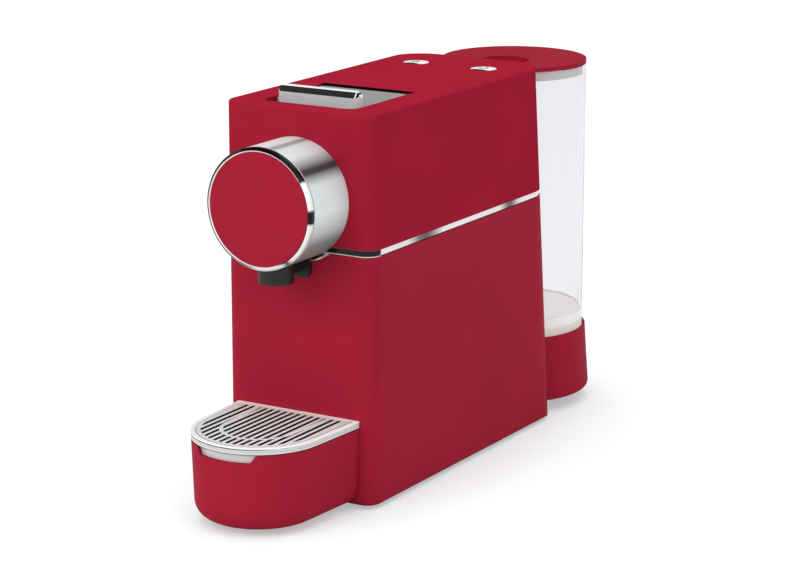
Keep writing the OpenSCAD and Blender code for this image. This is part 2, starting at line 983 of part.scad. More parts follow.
module cam(side) {
    color(steel)
        home()
            translate([side * (cam_x + cam_t / 2) - cam_t / 2, pivot_y, pivot_z])
                rotate([90, 0, 90])
                    linear_extrude(cam_t)
                        difference() {
                            cam_outline();
                            cam_slot();
                            circle(cam_bore_r);
                            translate(cam_window)
                                circle(cam_window_r);
                        }
}

module left_cam() {
    cam(-1);
}

module right_cam() {
    cam(1);
}

// ---------- piston ----------

seal_proud = 0.1;
piston_y = head_face_y + seat_gap + seal_proud;
piston_r = 27;
piston_l = 13;
piston_bore_r = 2;
carriage_y0 = piston_y + piston_l;
carriage_tail = 6;
carriage_y1 = follower_y + carriage_tail;
carriage_half_w = 14;
arm_side_gap = 0.6;
carriage_arm = cam_x - arm_side_gap;
arm_wall = 3.4;
seal_t = 1;
seal_land = 1;
seal_r = [cup_r + seal_land, piston_r - seal_land];
tube_overlap = 9;
tube_tip_y = carriage_y1 - tube_overlap;

module piston() {
    color("#b9bcbe")
        home()
            difference() {
                nose_round(piston_r, piston_y, carriage_y0);
                nose_round(cup_r, piston_y - 1, piston_y + cup_depth);
                nose_round(piston_bore_r, piston_y, carriage_y0 + 1);
                nose_turned()
                    translate([seal_r[0], piston_y - 1])
                        square([seal_r[1] - seal_r[0], seal_t + 1]);
            }
}

module shower_screen() {
    color(steel)
        home()
            sieve(cup_r, piston_y + cup_depth - filter_t, piston_y + cup_depth);
}

module piston_seal() {
    color(rubber)
        home()
            nose_turned()
                translate([seal_r[0], piston_y - seal_proud])
                    square([seal_r[1] - seal_r[0], seal_t + seal_proud]);
}

inlet_seal_l = 2;
inlet_seal_depth = 3;
inlet_seal_y = [carriage_y1 - inlet_seal_depth - inlet_seal_l, carriage_y1 - inlet_seal_depth];
inlet_seal_r = 4.6;
tube_end_gap = 3;

module piston_carriage() {
    arm_r = follower_r + arm_wall;
    color(black)
        home()
            difference() {
                union() {
                    translate([-carriage_half_w, carriage_y0, guide_z])
                        cube([2 * carriage_half_w, carriage_y1 - carriage_y0, follower_z - guide_z]);
                    cross_round(arm_r, carriage_arm, follower_y, follower_z);
                    cross_round(arm_r, carriage_arm, follower_y, guide_z);
                }
                cross_round(follower_r, far / 4, follower_y, follower_z);
                cross_round(follower_r, far / 4, follower_y, guide_z);
                nose_round(piston_bore_r, carriage_y0 - 1, carriage_y1);
                nose_round(tube_r + run_gap, tube_tip_y - piston_stroke - tube_end_gap, carriage_y1 + 1);
                nose_round(inlet_seal_r, inlet_seal_y[0], inlet_seal_y[1]);
            }
}

module follower_pins() {
    color(steel)
        home()
            for (z = [follower_z, guide_z])
                cross_round(follower_r, frame_x + frame_t, follower_y, z);
}

module inlet_seal() {
    color(rubber)
        home()
            nose_turned()
                translate([tube_r + run_gap, inlet_seal_y[0]])
                    square([inlet_seal_r - tube_r - run_gap, inlet_seal_y[1] - inlet_seal_y[0]]);
}

// ---------- water parts ----------

boiler_l = 40;
boiler_half_w = 28;
boiler_drop = 16;
boiler_rise = 32;
boiler_z = [nose_z - boiler_drop, nose_z + boiler_rise];
boiler_inlet_step = 18;
boiler_inlet_y = frame_y1 + boiler_inlet_step;
boiler_inlet_l = 5;
fin_count = 5;
fin_pitch = 8;
fin_z = 6;
fin_gap_t = 3;
fin_depth = 5;

module water_tube() {
    color(steel)
        home()
            difference() {
                nose_round(tube_r, tube_tip_y, frame_y1);
                nose_round(tube_bore_r, tube_tip_y - 1, frame_y1 + 1);
            }
}

module boiler() {
    color("#b0b2b4")
        home() {
            difference() {
                translate([-boiler_half_w, frame_y1, boiler_z[0]])
                    cube([2 * boiler_half_w, boiler_l, boiler_z[1] - boiler_z[0]]);
                for (i = [0:fin_count - 1], side = [-1, 1])
                    translate([side * boiler_half_w - fin_depth, frame_y1 - 1,
                        boiler_z[0] + fin_z + fin_pitch * i])
                        cube([2 * fin_depth, boiler_l + 2, fin_gap_t]);
            }
            translate([0, boiler_inlet_y, boiler_z[0] - boiler_inlet_l])
                cylinder(r = hose_r, h = boiler_inlet_l);
        }
}

thermostat_r = 8;
thermostat_t = 5;
terminal = [4, 12, 9];

module boiler_thermostat() {
    color("#d8d8d0")
        home()
            translate([0, frame_y1 + boiler_l / 2, boiler_z[1]]) {
                cylinder(r = thermostat_r, h = thermostat_t);
                translate([-terminal[0] / 2, -terminal[1] / 2, 0])
                    cube(terminal);
            }
}

pump_y = 132;
nozzle_l = 8;
coil_half_w = 20;
coil_half_h = 19;
coil_l = 34;

// Cylinder along y at the pump axis
module pump_round(r, y0, y1) {
    translate([0, y0, pump_z])
        rotate([-90, 0, 0])
            cylinder(r = r, h = y1 - y0);
}

module pump() {
    pump_y1 = pump_y + pump_l;
    color("#6d6f70")
        home() {
            pump_round(pump_r, pump_y, pump_y1);
            pump_round(hose_r, pump_y - nozzle_l, pump_y);
            pump_round(hose_r, pump_y1, pump_y1 + nozzle_l);
            translate([-coil_half_w, pump_y + (pump_l - coil_l) / 2, pump_z - coil_half_h])
                cube([2 * coil_half_w, coil_l, 2 * coil_half_h]);
        }
}

mount_t = 8;
mount_side = 6;
mount_top = 4;
mount_inset = 4;

module pump_mounts() {
    mount_half_w = pump_r + mount_side;
    color(rubber)
        home()
            for (y = [pump_y + mount_inset, pump_y + pump_l - mount_inset - mount_t])
                difference() {
                    translate([-mount_half_w, y, plate_top])
                        cube([2 * mount_half_w, mount_t, pump_z + pump_r + mount_top - plate_top]);
                    pump_round(pump_r, y - 1, y + mount_t + 1);
                }
}

// Quarter ring in the YZ plane round (y, z), from angle a0 to a0 + 90 as seen from +X with +Y to the left
module hose_elbow(y, z, a0) {
    translate([0, y, z])
        rotate([a0, 0, 0])
            rotate([90, 0, 90])
                rotate_extrude(angle = 90)
                    translate([hose_bend, 0])
                        circle(hose_r, $fn = 32);
}

socket_under = 4;

module inlet_hose() {
    y0 = pump_y + pump_l + nozzle_l;
    color("#dfe0dc")
        home() {
            pump_round(hose_r, y0, tank_y - hose_bend);
            hose_elbow(tank_y - hose_bend, pump_z + hose_bend, 270);
        }
}

pressure_y = 110;
hose_riser_l = 7.2;
pressure_z = boiler_z[0] - boiler_inlet_l - hose_bend - hose_riser_l;

module pressure_hose() {
    color("#dfe0dc")
        home() {
            pump_round(hose_r, pressure_y + hose_bend, pump_y - nozzle_l);
            hose_elbow(pressure_y + hose_bend, pump_z + hose_bend, 180);
            translate([0, pressure_y, pump_z + hose_bend])
                cylinder(r = hose_r, h = pressure_z - pump_z - 2 * hose_bend, $fn = 32);
            hose_elbow(pressure_y + hose_bend, pressure_z - hose_bend, 90);
            translate([0, pressure_y + hose_bend, pressure_z])
                rotate([-90, 0, 0])
                    cylinder(r = hose_r, h = boiler_inlet_y - pressure_y - 2 * hose_bend, $fn = 32);
            hose_elbow(boiler_inlet_y - hose_bend, pressure_z + hose_bend, 270);
            translate([0, boiler_inlet_y, pressure_z + hose_bend])
                cylinder(r = hose_r, h = boiler_z[0] - boiler_inlet_l - pressure_z - hose_bend, $fn = 32);
        }
}

// ---------- electronics and buttons ----------

board_margin = 5;
relay_at = [10, 6];
relay = [4.5, 20, 16];
triac_at = [42, 4];
triac = [4, 24, 10];
capacitor_at = [36, 36];
capacitor_r = 6;
capacitor_h = 4.5;

module circuit_board() {
    x1 = -board_x - standoff_l;
    color("#2c6e46")
        home() {
            translate([x1 - board_t, board_y[0] - board_margin, board_z[0] - board_margin])
                cube([board_t, board_span[0] + 2 * board_margin, board_span[1] + 2 * board_margin]);
            translate([x1 - board_t - relay[0], board_y[0] + relay_at[0], board_z[0] + relay_at[1]])
                cube(relay);
            translate([x1 - board_t - triac[0], board_y[0] + triac_at[0], board_z[0] + triac_at[1]])
                cube(triac);
            translate([x1 - board_t - capacitor_h, board_y[0] + capacitor_at[0],
                board_z[0] + capacitor_at[1]])
                rotate([0, 90, 0])
                    cylinder(r = capacitor_r, h = capacitor_h);
        }
}

switch_w = 6;
switch_tip_r = 1.7;
button_stem_r = 2.2;

module button_board() {
    color("#2c6e46")
        home() {
            translate([-button_x - board_edge, button_y - board_post_dy - board_edge, button_board_z])
                cube([2 * (button_x + board_edge), 2 * (board_post_dy + board_edge), board_t]);
            for (side = [-1, 1])
                translate([side * button_x, button_y, button_board_z + board_t]) {
                    translate([-switch_w / 2, -switch_w / 2, 0])
                        cube([switch_w, switch_w, switch_h]);
                    cylinder(r = switch_tip_r, h = switch_h + switch_tip_h);
                }
        }
}

module button(side) {
    r = button_d / 2;
    stem_z = button_board_z + board_t + switch_h + switch_tip_h + button_travel + seat_gap;
    crown_r = (r * r + button_rise * button_rise) / (2 * button_rise);
    flange_z = top_inner - seat_gap - button_flange_t;
    color("silver")
        home()
            translate([side * button_x, button_y, 0]) {
                intersection() {
                    translate([0, 0, flange_z])
                        cylinder(r = r, h = body_h + button_rise + 1 - flange_z);
                    translate([0, 0, body_h + button_rise - crown_r])
                        rotate([90, 0, 0])
                            sphere(crown_r, $fn = 180);
                }
                translate([0, 0, flange_z])
                    cylinder(r = button_flange_r, h = button_flange_t);
                translate([0, 0, stem_z])
                    cylinder(r = button_stem_r, h = flange_z - stem_z + 1);
            }
}

module left_button() {
    button(-1);
}

module right_button() {
    button(1);
}

// ---------- drip tray drawer ----------

tray_cy = tray_reach - tray_r;
tray_rim_z = tray_top_z - rim_h;
tray_yaw = acos(tray_r / norm([tray_half_w, tray_cy])) - atan2(tray_cy, tray_half_w);
tray_back = 0.3;
tray_wall = 2.6;
tray_slip = 0.3;

// Cross-section of the tray from x0 outwards, moved in by inset, with its foot at zb rounded by f
module tray_section(x0, inset, zb, zt, f) {
    t = tan(tray_draft);
    rt = tray_r - inset - (tray_rim_z - zt) * t;
    z_tan = zb + f - f * sin(tray_draft);
    rc = rt - (zt - z_tan) * t - f * cos(tray_draft);
    polygon([[x0, zb], [rc, zb], [rc + f * cos(tray_draft), z_tan], [rt, zt], [x0, zt]]);
    translate([rc, zb + f])
        circle(f);
}

// Tray body: round front, flared sides, drafted and rounded at its foot, cut off behind y = -back
module tray_form(inset, zb, zt, f, back) {
    side_l = tray_cy / cos(tray_yaw) + tray_r;
    overlap = tray_r / 2;
    difference() {
        translate([0, -tray_cy, 0]) {
            rotate([0, 0, 180 + tray_yaw])
                rotate_extrude(angle = 180 - 2 * tray_yaw)
                    tray_section(0, inset, zb, zt, f);
            for (side = [0, 1])
                mirror([side, 0, 0])
                    rotate([0, 0, -tray_yaw])
                        translate([0, side_l, 0])
                            rotate([90, 0, 0])
                                linear_extrude(side_l)
                                    tray_section(-overlap, inset, zb, zt, f);
        }
        translate([-far / 2, -back, -far / 2])
            cube([far, far, far]);
    }
}

notch_l = 16;
notch_slant = 4;

module tray_housing() {
    color(red)
        home()
            difference() {
                tray_form(0, tray_lift, tray_rim_z, tray_foot_r, tray_back);
                tray_form(tray_wall, tray_lift + tray_wall, tray_rim_z + 1, tray_foot_r - tray_wall,
                    tray_back + tray_wall);
                translate([0, -tray_reach + notch_l, tray_rim_z])
                    rotate([90, 0, 0])
                        linear_extrude(notch_l + tray_wall)
                            polygon([[-notch_half_w - notch_slant, notch_depth],
                                [-notch_half_w + notch_slant, -notch_depth],
                                [notch_half_w - notch_slant, -notch_depth],
                                [notch_half_w + notch_slant, notch_depth]]);
            }
}

bin_wall = 2;

module pod_bin() {
    color(black)
        home()
            difference() {
                translate([-bin_w / 2, -tray_back, bin_z])
                    cube([bin_w, bin_l + tray_back, bin_top_z - bin_z]);
                translate([-bin_w / 2 + bin_wall, -tray_back + bin_wall, bin_z + bin_wall])
                    cube([bin_w - 2 * bin_wall, bin_l + tray_back - 2 * bin_wall, far / 4]);
            }
}

drip_depth = 30;
drip_wall = 1.8;
tray_edge_r = 0.2;
drip_foot_r = 6;
grate_inset = rim_w + tray_slip;

module drip_tray() {
    rim_foot = tray_rim_z + seat_gap;
    ledge_z = tray_top_z - grate_t - seat_gap;
    outer = tray_wall + tray_slip;
    floor_z = tray_top_z - drip_depth;
    color(silver)
        home()
            difference() {
                union() {
                    tray_form(0, rim_foot, tray_top_z, tray_edge_r, tray_back);
                    tray_form(outer, floor_z, rim_foot + 1, drip_foot_r, tray_back + outer);
                }
                tray_form(rim_w, ledge_z, tray_top_z + 1, tray_edge_r, tray_back + rim_w);
                tray_form(outer + drip_wall, floor_z + drip_wall, tray_top_z, drip_foot_r - drip_wall,
                    tray_back + outer + drip_wall);
            }
}

// How far the sides start inside the round front, so that the two cross instead of only touching
side_step = 0.2;

// Vertical prism over the tray outline moved in by inset, cut off behind y = -back
module tray_prism(inset, z0, z1, back) {
    side_l = tray_cy + tray_r;
    r = tray_r - inset;
    foot = (r - side_step) * [cos(tray_yaw), -sin(tray_yaw)];
    end = foot + side_l * [sin(tray_yaw), cos(tray_yaw)];
    difference() {
        translate([0, -tray_cy, z0])
            linear_extrude(z1 - z0)
                union() {
                    circle(r);
                    polygon([[-foot[0], foot[1]], foot, end, [-end[0], end[1]]]);
                }
        translate([-far / 2, -back, z0 - 1])
            cube([far, far, z1 - z0 + 2]);
    }
}

module slot_bars(z0, z1) {
    for (i = [0:slot_count - 1])
        translate([(i - (slot_count - 1) / 2) * slot_pitch - slot_w / 2, -tray_reach, z0])
            cube([slot_w, tray_reach, z1 - z0]);
}

grate_border = 3;

module grate() {
    z0 = tray_top_z - grate_t;
    back = tray_back + grate_inset;
    color(silver)
        home()
            difference() {
                tray_prism(grate_inset, z0, tray_top_z, back);
                intersection() {
                    slot_bars(z0 - 1, tray_top_z + 1);
                    difference() {
                        tray_prism(grate_inset + grate_border, z0 - 1, tray_top_z + 1, back + grate_border);
                        difference() {
                            tray_prism(grate_inset + rib_inset, z0 - 2, tray_top_z + 2, 0);
                            tray_prism(grate_inset + rib_inset + rib_w, z0 - 3, tray_top_z + 3, -1);
                        }
                    }
                }
            }
}

// ---------- tank, base and lid ----------

socket_r = 14;
socket_neck_r = socket_r - 2;
socket_h = 13;
socket_floor_t = 3;
socket_bore_r = nozzle_r + 0.4;
socket_drain_r = 2;
groove_depth = 1.2;
groove_z = [8, 10];
nozzle_gap = 0.08;
base_wall = 2.6;
bush_rise = 11;
bush_proud = 0.5;
bush_inner_l = 4;
bush_y = [tank_y + base_rim_r - base_wall - bush_inner_l, tank_y + base_rim_r + bush_proud];

module tank_base() {
    draft = (base_foot_r - base_rim_r) / (base_rim_z - base_lift - base_edge_r);
    color(red)
        home()
            difference() {
                translate([0, tank_y, 0])
                    rotate_extrude() {
                        polygon([[0, base_lift], [base_foot_r - base_edge_r, base_lift],
                            [base_foot_r, base_lift + base_edge_r],
                            [base_rim_r, base_rim_z], [0, base_rim_z]]);
                        translate([base_foot_r - base_edge_r, base_lift + base_edge_r])
                            circle(base_edge_r);
                    }
                body_form(0, base_rim_z + 1);
                tank_round(cradle_r, deck_z, base_rim_z + 1);
                difference() {
                    tank_round(base_rim_r - base_wall, base_lift + base_wall, deck_z - base_wall);
                    body_form(0, deck_z, -base_wall);
                }
                tank_round(socket_neck_r, deck_z - base_wall - 1, deck_z + 1);
                hose_hole();
                translate([0, bush_y[0], base_lift + bush_rise])
                    rotate([-90, 0, 0])
                        cylinder(r = bush_r, h = base_rim_r);
            }
}

module cord_bush() {
    l = bush_y[1] - bush_y[0];
    color(black)
        home()
            translate([0, bush_y[0], base_lift + bush_rise])
                rotate([-90, 0, 0])
                    difference() {
                        cylinder(r = bush_r, h = l);
                        translate([0, 0, -1])
                            cylinder(r = cord_bore_r, h = l + 2);
                    }
}

module tank_socket() {
    color("#55585a")
        home()
            difference() {
                union() {
                    tank_round(socket_neck_r, deck_z - socket_under, deck_z);
                    tank_round(socket_r, deck_z, deck_z + socket_h);
                }
                tank_round(socket_bore_r, deck_z + socket_floor_t, deck_z + socket_h + 1);
                tank_round(socket_drain_r, deck_z - socket_under - 1, deck_z + socket_floor_t + 1);
                tank_round(socket_bore_r + groove_depth, deck_z + groove_z[0], deck_z + groove_z[1]);
            }
}

module socket_seal() {
    color(rubber)
        home()
            difference() {
                tank_round(socket_bore_r + groove_depth, deck_z + groove_z[0], deck_z + groove_z[1]);
                tank_round(nozzle_r + nozzle_gap, deck_z + groove_z[0] - 1, deck_z + groove_z[1] + 1);
            }
}

tank_foot_z = deck_z + seat_gap;
tank_top = lid_z - lid_t - seat_gap;
stem_foot = deck_z + socket_floor_t + seat_gap;
nozzle_foot = stem_foot + valve_travel;
nozzle_wall = 2;
valve_seat_t = 2;
valve_seat_z = nozzle_foot + valve_seat_t;
valve_hole_r = 3.5;

module water_tank() {
    color("#dfe6ea", 0.35)
        home()
            difference() {
                tank_round(tank_r, tank_foot_z, tank_top);
                tank_round(tank_r - tank_wall, tank_floor_z, tank_top + 1);
                difference() {
                    tank_round(tank_r - tank_wall, tank_foot_z - 1, tank_floor_z - tank_wall);
                    tank_round(nozzle_r, nozzle_foot, tank_floor_z);
                }
                tank_round(nozzle_r - nozzle_wall, valve_seat_z, tank_floor_z + 1);
                tank_round(valve_hole_r, nozzle_foot - 1, valve_seat_z + 1);
            }
}

valve_disc_t = 2;
valve_disc_gap = 0.4;
valve_seal_t = 1.4;
valve_seal_r = 5.5;
valve_rod_r = 1.5;
stem_r = 2.4;

module tank_valve() {
    disc_z = valve_seat_z + seat_gap + valve_seal_t;
    color("#c8cacb")
        home() {
            tank_round(nozzle_r - nozzle_wall - valve_disc_gap, disc_z, disc_z + valve_disc_t);
            tank_round(stem_r, stem_foot, disc_z + valve_disc_t);
            tank_round(valve_rod_r, disc_z, tank_floor_z + valve_rod_r);
        }
}

module valve_seal() {
    color(rubber)
        home()
            difference() {
                tank_round(valve_seal_r, valve_seat_z + seat_gap, valve_seat_z + seat_gap + valve_seal_t);
                tank_round(stem_r, nozzle_foot, tank_floor_z);
            }
}

lid_skirt_l = 7;
lid_skirt_t = 2;
lid_lip = 0.1;
bowl_t = 2;
bowl_depth = 9;
bowl_z = lid_z - bowl_depth;
scoop_step = 14.7;
scoop_y = tank_y - scoop_step;
lid_seal_r = tank_r - tank_wall - seat_gap;
lid_seal_t = 2;

module tank_lid() {
    color(red)
        home()
            difference() {
                union() {
                    tank_round(tank_r + lid_lip, lid_z - lid_t, lid_z);
                    tank_round(lid_seal_r - lid_seal_t, lid_z - lid_t - lid_skirt_l, lid_z - lid_t);
                }
                difference() {
                    tank_round(lid_seal_r - lid_seal_t - lid_skirt_t, lid_z - lid_t - lid_skirt_l - 1,
                        lid_z - lid_t);
                    translate([0, scoop_y, bowl_z - bowl_t])
                        cylinder(r = scoop_r + bowl_t, h = lid_z - bowl_z);
                }
                translate([0, scoop_y, bowl_z])
                    cylinder(r = scoop_r, h = lid_z - bowl_z + 1);
            }
}

module lid_seal() {
    color("#b9b7b2")
        home()
            difference() {
                tank_round(lid_seal_r, lid_z - lid_t - lid_skirt_l, lid_z - lid_t);
                tank_round(lid_seal_r - lid_seal_t, lid_z - lid_t - lid_skirt_l - 1, lid_z);
            }
}

upper_housing();
lower_housing();
belt();
bottom_plate();
feet();
bottom_screws();
nose_core();
nose_sleeve();
nose_rim();
front_disc();
nose_foot_ring();
spout();
spout_bracket();
brew_head();
filter_disc();
brew_frame();
slot_plate();
pod_chute();
lever_hinge_pin();
lever_plate();
lever_grip();
left_cam();
right_cam();
piston();
shower_screen();
piston_seal();
piston_carriage();
follower_pins();
inlet_seal();
water_tube();
boiler();
boiler_thermostat();
pump();
pump_mounts();
inlet_hose();
pressure_hose();
circuit_board();
button_board();
left_button();
right_button();
tray_housing();
pod_bin();
drip_tray();
grate();
tank_base();
tank_socket();
socket_seal();
cord_bush();
water_tank();
tank_valve();
valve_seal();
tank_lid();
lid_seal();
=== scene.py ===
"""Looks of the pod coffee machine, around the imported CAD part. Metres, in the part's own frame."""
import json
import math

import bmesh
import bpy
from mathutils import Euler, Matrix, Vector


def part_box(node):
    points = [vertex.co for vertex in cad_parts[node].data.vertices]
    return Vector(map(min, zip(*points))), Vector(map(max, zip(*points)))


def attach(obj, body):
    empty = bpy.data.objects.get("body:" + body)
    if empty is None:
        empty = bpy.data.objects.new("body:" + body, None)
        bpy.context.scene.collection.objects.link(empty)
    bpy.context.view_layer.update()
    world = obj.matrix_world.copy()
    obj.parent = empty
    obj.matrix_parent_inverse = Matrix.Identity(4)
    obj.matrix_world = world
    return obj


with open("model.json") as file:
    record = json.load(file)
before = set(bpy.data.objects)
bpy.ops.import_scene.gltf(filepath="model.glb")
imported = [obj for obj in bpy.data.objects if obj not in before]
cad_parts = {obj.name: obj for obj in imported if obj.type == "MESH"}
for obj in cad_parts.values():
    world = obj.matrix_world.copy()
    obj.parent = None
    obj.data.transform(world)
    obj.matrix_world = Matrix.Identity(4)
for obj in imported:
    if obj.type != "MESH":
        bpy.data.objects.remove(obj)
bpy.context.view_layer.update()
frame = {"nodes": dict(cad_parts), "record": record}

MM = 0.001

# ---------- colours, written as they show on screen (0-255) ----------
RED = (169, 34, 55)
BLACK = (24, 23, 23)
GREY = (176, 174, 172)
SEAL_GREY = (228, 226, 222)
CHROME = (230, 231, 232)
SATIN = (178, 178, 176)
SILVER = (248, 253, 253)
STEEL = (178, 180, 182)
ALUMINIUM = (190, 191, 192)
RUBBER = (34, 33, 33)
SILICONE = (214, 212, 206)
CIRCUIT = (22, 74, 42)
CLEAR = (242, 240, 242)
FROSTED = (222, 219, 212)
FROSTED_TOP = (244, 245, 245)
# Painted highlight along the top of the lever's grip
GRIP_EDGE_HIGHLIGHT = (252, 253, 253)
# Painted shade on the wall behind the lever plate
RECESS_SHADE = (14, 12, 12)
# Painted shade inside the drip tray, under the grate
TRAY_INSIDE_SHADE = (14, 14, 14)
FLOOR_LINE = (120, 120, 116)
# Painted glow of the water tank's frosted foot, on its floor and on its walls
FLOOR_GLOW = (172, 173, 174)
WALL_GLOW = (112, 112, 112)
SHADOW_TINT = (0.93, 0.94, 0.95, 1.0)

# ---------- painted light on the drawn metals: reflections, highlights and shade, each a list of (place, grey or colour 0-255) ---
# The turned nose sleeve's painted reflections, light and dark streaks, by the angle from the bottom over the
# left, the top and the right.
# The red is a little down, because the body's red shines on the sleeve.
SLEEVE_RED = 0.955
SLEEVE_REFLECTION_GREYS = [
    (-180, 165), (-140, 165), (-100, 215), (-70, 235), (-58, 150), (-46, 245), (-14, 255), (0, 245),
    (5, 240), (11, 150), (17, 240), (32, 240), (41, 178), (48, 72), (52, 72), (58, 190), (64, 244),
    (92, 250), (110, 220), (124, 150), (150, 132), (180, 160),
]
SLEEVE_REFLECTION_TONES = [(at, (tone * SLEEVE_RED, tone, tone)) for at, tone in SLEEVE_REFLECTION_GREYS]
# Painted reflections and highlights on the rim's flat front, bevel, side and rear edge, by the same angle
RIM_REFLECTION_TONES = [
    [(-180, 235), (40, 245), (54, 240), (58, 24), (150, 24), (160, 235), (180, 235)],
    [(-180, 225), (-165, 90), (-92, 24), (-60, 12), (57, 12), (59, 252), (84, 252), (86, 12), (97, 12),
     (99, 248), (140, 240), (146, 50), (152, 225), (180, 225)],
    [(-180, 200), (-60, 235), (-40, 40), (-20, 12), (57, 12), (59, 252), (84, 252), (86, 12), (97, 12),
     (99, 240), (180, 200)],
    [(-180, 235), (46, 252), (56, 250), (60, 70), (100, 70), (130, 200), (180, 235)],
]
# Painted reflections and highlights on the belt, in millimetres behind its front, and up its height at the
# sides and at the front
BELT_REFLECTION_TONES = [
    (0, 24), (10.4, 24), (11.2, 252), (45, 244), (60, 120), (69, 84), (76, 130), (92, 252), (170, 252),
    (181, 110), (187, 96), (196, 225), (204, 252), (264, 245),
]
BELT_SIDE_REFLECTIONS = [(0, 40), (0.45, 40), (0.7, 250), (3.4, 245), (3.9, 255), (4.6, 255)]
BELT_FRONT_REFLECTIONS = [(0, 235), (0.45, 235), (0.75, 22), (4.1, 22), (4.3, 90), (4.6, 90)]
# Painted highlights and reflections on the lever's grip, by how far up each face looks, and in millimetres
# from its right end
GRIP_HIGHLIGHT_TONES = [
    (-1, 60), (-0.3, (198, 208, 208)), (0.25, (212, 222, 222)), (0.32, 46), (0.9, 44), (1, 252),
]
GRIP_END_HIGHLIGHTS = [
    (-8, 44), (-4.4, 44), (-4.2, 250), (-3.4, 250), (-3.1, 10), (-1.4, 10), (-1.0, 250), (0, 250),
]
# A button's painted reflection, dark at the front edge and a highlight over the rest, in millimetres from its
# middle towards the tank
BUTTON_REFLECTION_TONES = [(-9.5, 20), (-6.4, 20), (-5.6, 250), (9.5, 252)]
# The grate, by how far up each face looks: a bright top, and painted shade on the walls in the slots
GRATE_SLOT_SHADE_TONES = [(-1, 20), (0.6, 20), (0.75, SILVER), (1, SILVER)]
# Painted reflection bands on the side of the drip tray, with a highlight along the top and a dark seam line
# lower down, in millimetres from its top
TRAY_RIM_REFLECTIONS = [
    (-30, 200), (-8, 214), (-5.3, 205), (-5.15, 24), (-4.6, 24), (-4.3, 226), (-2.8, 196), (-1.7, 222),
    (-0.9, 222), (-0.7, 254), (0, 254),
]
# The painted reflection line under the tray's top edge, in millimetres from left to right: dark at the left
# and middle, lighter to the right
TRAY_LINE_REFLECTION = [(-47, 60), (-30, 10), (8, 10), (26, 120), (34, 205), (47, 205)]
# The frosted foot of the water tank, in millimetres from the tank's floor
FOOT_TONES = [
    (-22, FROSTED), (-8.2, FROSTED), (-7.4, FROSTED_TOP), (-1.2, FROSTED_TOP), (-0.8, FROSTED),
    (-0.3, FROSTED), (0, FROSTED_TOP),
]

# ---------- sizes of the bands ----------
RIM_BEVEL = 1.3 * MM
RIM_FRONT = 1.9 * MM
RIM_EDGE = 4.2 * MM
BELT_CORNER = 11 * MM
GRIP_TOP = 0.9 * MM
GRIP_END = 4.4 * MM
BUTTON_SPAN = 10 * MM
# The wall behind the lever plate, painted dark as shade, from the plate's rear and top
RECESS_BEFORE = 3 * MM
RECESS_BEHIND = 2.2 * MM
RECESS_BESIDE = 1.5 * MM
RECESS_ABOVE = 0.9 * MM
TRAY_HEART_RISE = 5 * MM
TRAY_DARK_GAP = 0.3 * MM
TRAY_LINE = (-1.6 * MM, -0.95 * MM)
TANK_FLOOR = 22.3 * MM
TANK_WALL = 2 * MM
FLOOR_EDGE = 0.9 * MM
FROST_FADE = 0.5 * MM
FOOT_CLEARNESS = 0.12
WALL_RIPPLE = 0.4 * MM
SHELL_GRAIN = 0.5 * MM


def linear(colour):
    """An on-screen colour as the linear RGBA that shaders take."""
    channels = [c / 255 for c in colour]
    return tuple(
        c / 12.92 if c <= 0.04045 else ((c + 0.055) / 1.055) ** 2.4 for c in channels
    ) + (1.0,)


def shade(colour, factor):
    """A colour made darker (factor below 1) or paler (above 1)."""
    return tuple(min(255, c * factor) for c in colour)


# ---------- shader building blocks ----------
class Nodes:
    """A small helper that adds and joins shader nodes."""

    def __init__(self, tree):
        self.tree = tree
        self.tree.nodes.clear()

    def add(self, kind, values=None, **settings):
        node = self.tree.nodes.new(kind)
        for name, value in settings.items():
            setattr(node, name, value)
        for name, value in (values or {}).items():
            node.inputs[name].default_value = value
        return node

    def join(self, source, target):
        self.tree.links.new(source, target)


def noise(n, scale, detail=2.0, rough=0.5, stretch=(1, 1, 1)):
    """Noise in the piece's own coordinates; scale is in waves per metre."""
    coords = n.add("ShaderNodeTexCoord")
    mapping = n.add("ShaderNodeMapping")
    mapping.inputs["Scale"].default_value = stretch
    n.join(coords.outputs["Object"], mapping.inputs["Vector"])
    texture = n.add("ShaderNodeTexNoise", {"Scale": scale, "Detail": detail, "Roughness": rough})
    n.join(mapping.outputs["Vector"], texture.inputs["Vector"])
    return texture.outputs["Fac"]


def ramp(n, source, low, high, start=0.35, end=0.65):
    """Two colours mixed by a value."""
    node = n.add("ShaderNodeValToRGB")
    first, last = node.color_ramp.elements
    first.position, last.position = start, end
    first.color, last.color = low, high
    n.join(source, node.inputs["Fac"])
    return node.outputs["Color"]


def between(n, source, low, high, start=0.3, end=0.7):
    """A value that runs from start to end, spread from low to high."""
    node = n.add("ShaderNodeMapRange", {"From Min": start, "From Max": end, "To Min": low, "To Max": high})
    n.join(source, node.inputs["Value"])
    return node.outputs["Result"]


def bumped(n, heights, edge=0.0):
    """A normal from (value, depth in metres) pairs, over edges softened by a radius in metres."""
    normal = None
    if edge:
        soft = n.add("ShaderNodeBevel", {"Radius": edge}, samples=6)
        normal = soft.outputs["Normal"]
    for value, depth in heights:
        node = n.add("ShaderNodeBump", {"Strength": 1.0, "Distance": depth})
        n.join(value, node.inputs["Height"])
        if normal is not None:
            n.join(normal, node.inputs["Normal"])
        normal = node.outputs["Normal"]
    return normal


def new_material(name):
    """An empty material and its nodes."""
    material = bpy.data.materials.new(name)
    material.use_nodes = True
    return material, Nodes(material.node_tree)


def show(n, shader):
    """Makes a shader the material's surface."""
    out = n.add("ShaderNodeOutputMaterial")
    n.join(shader, out.inputs["Surface"])


def mixed(n, factor, first, second):
    """Two shaders mixed: the second where the factor is 1."""
    node = n.add("ShaderNodeMixShader")
    n.join(factor, node.inputs["Fac"])
    n.join(first, node.inputs[1])
    n.join(second, node.inputs[2])
    return node.outputs["Shader"]


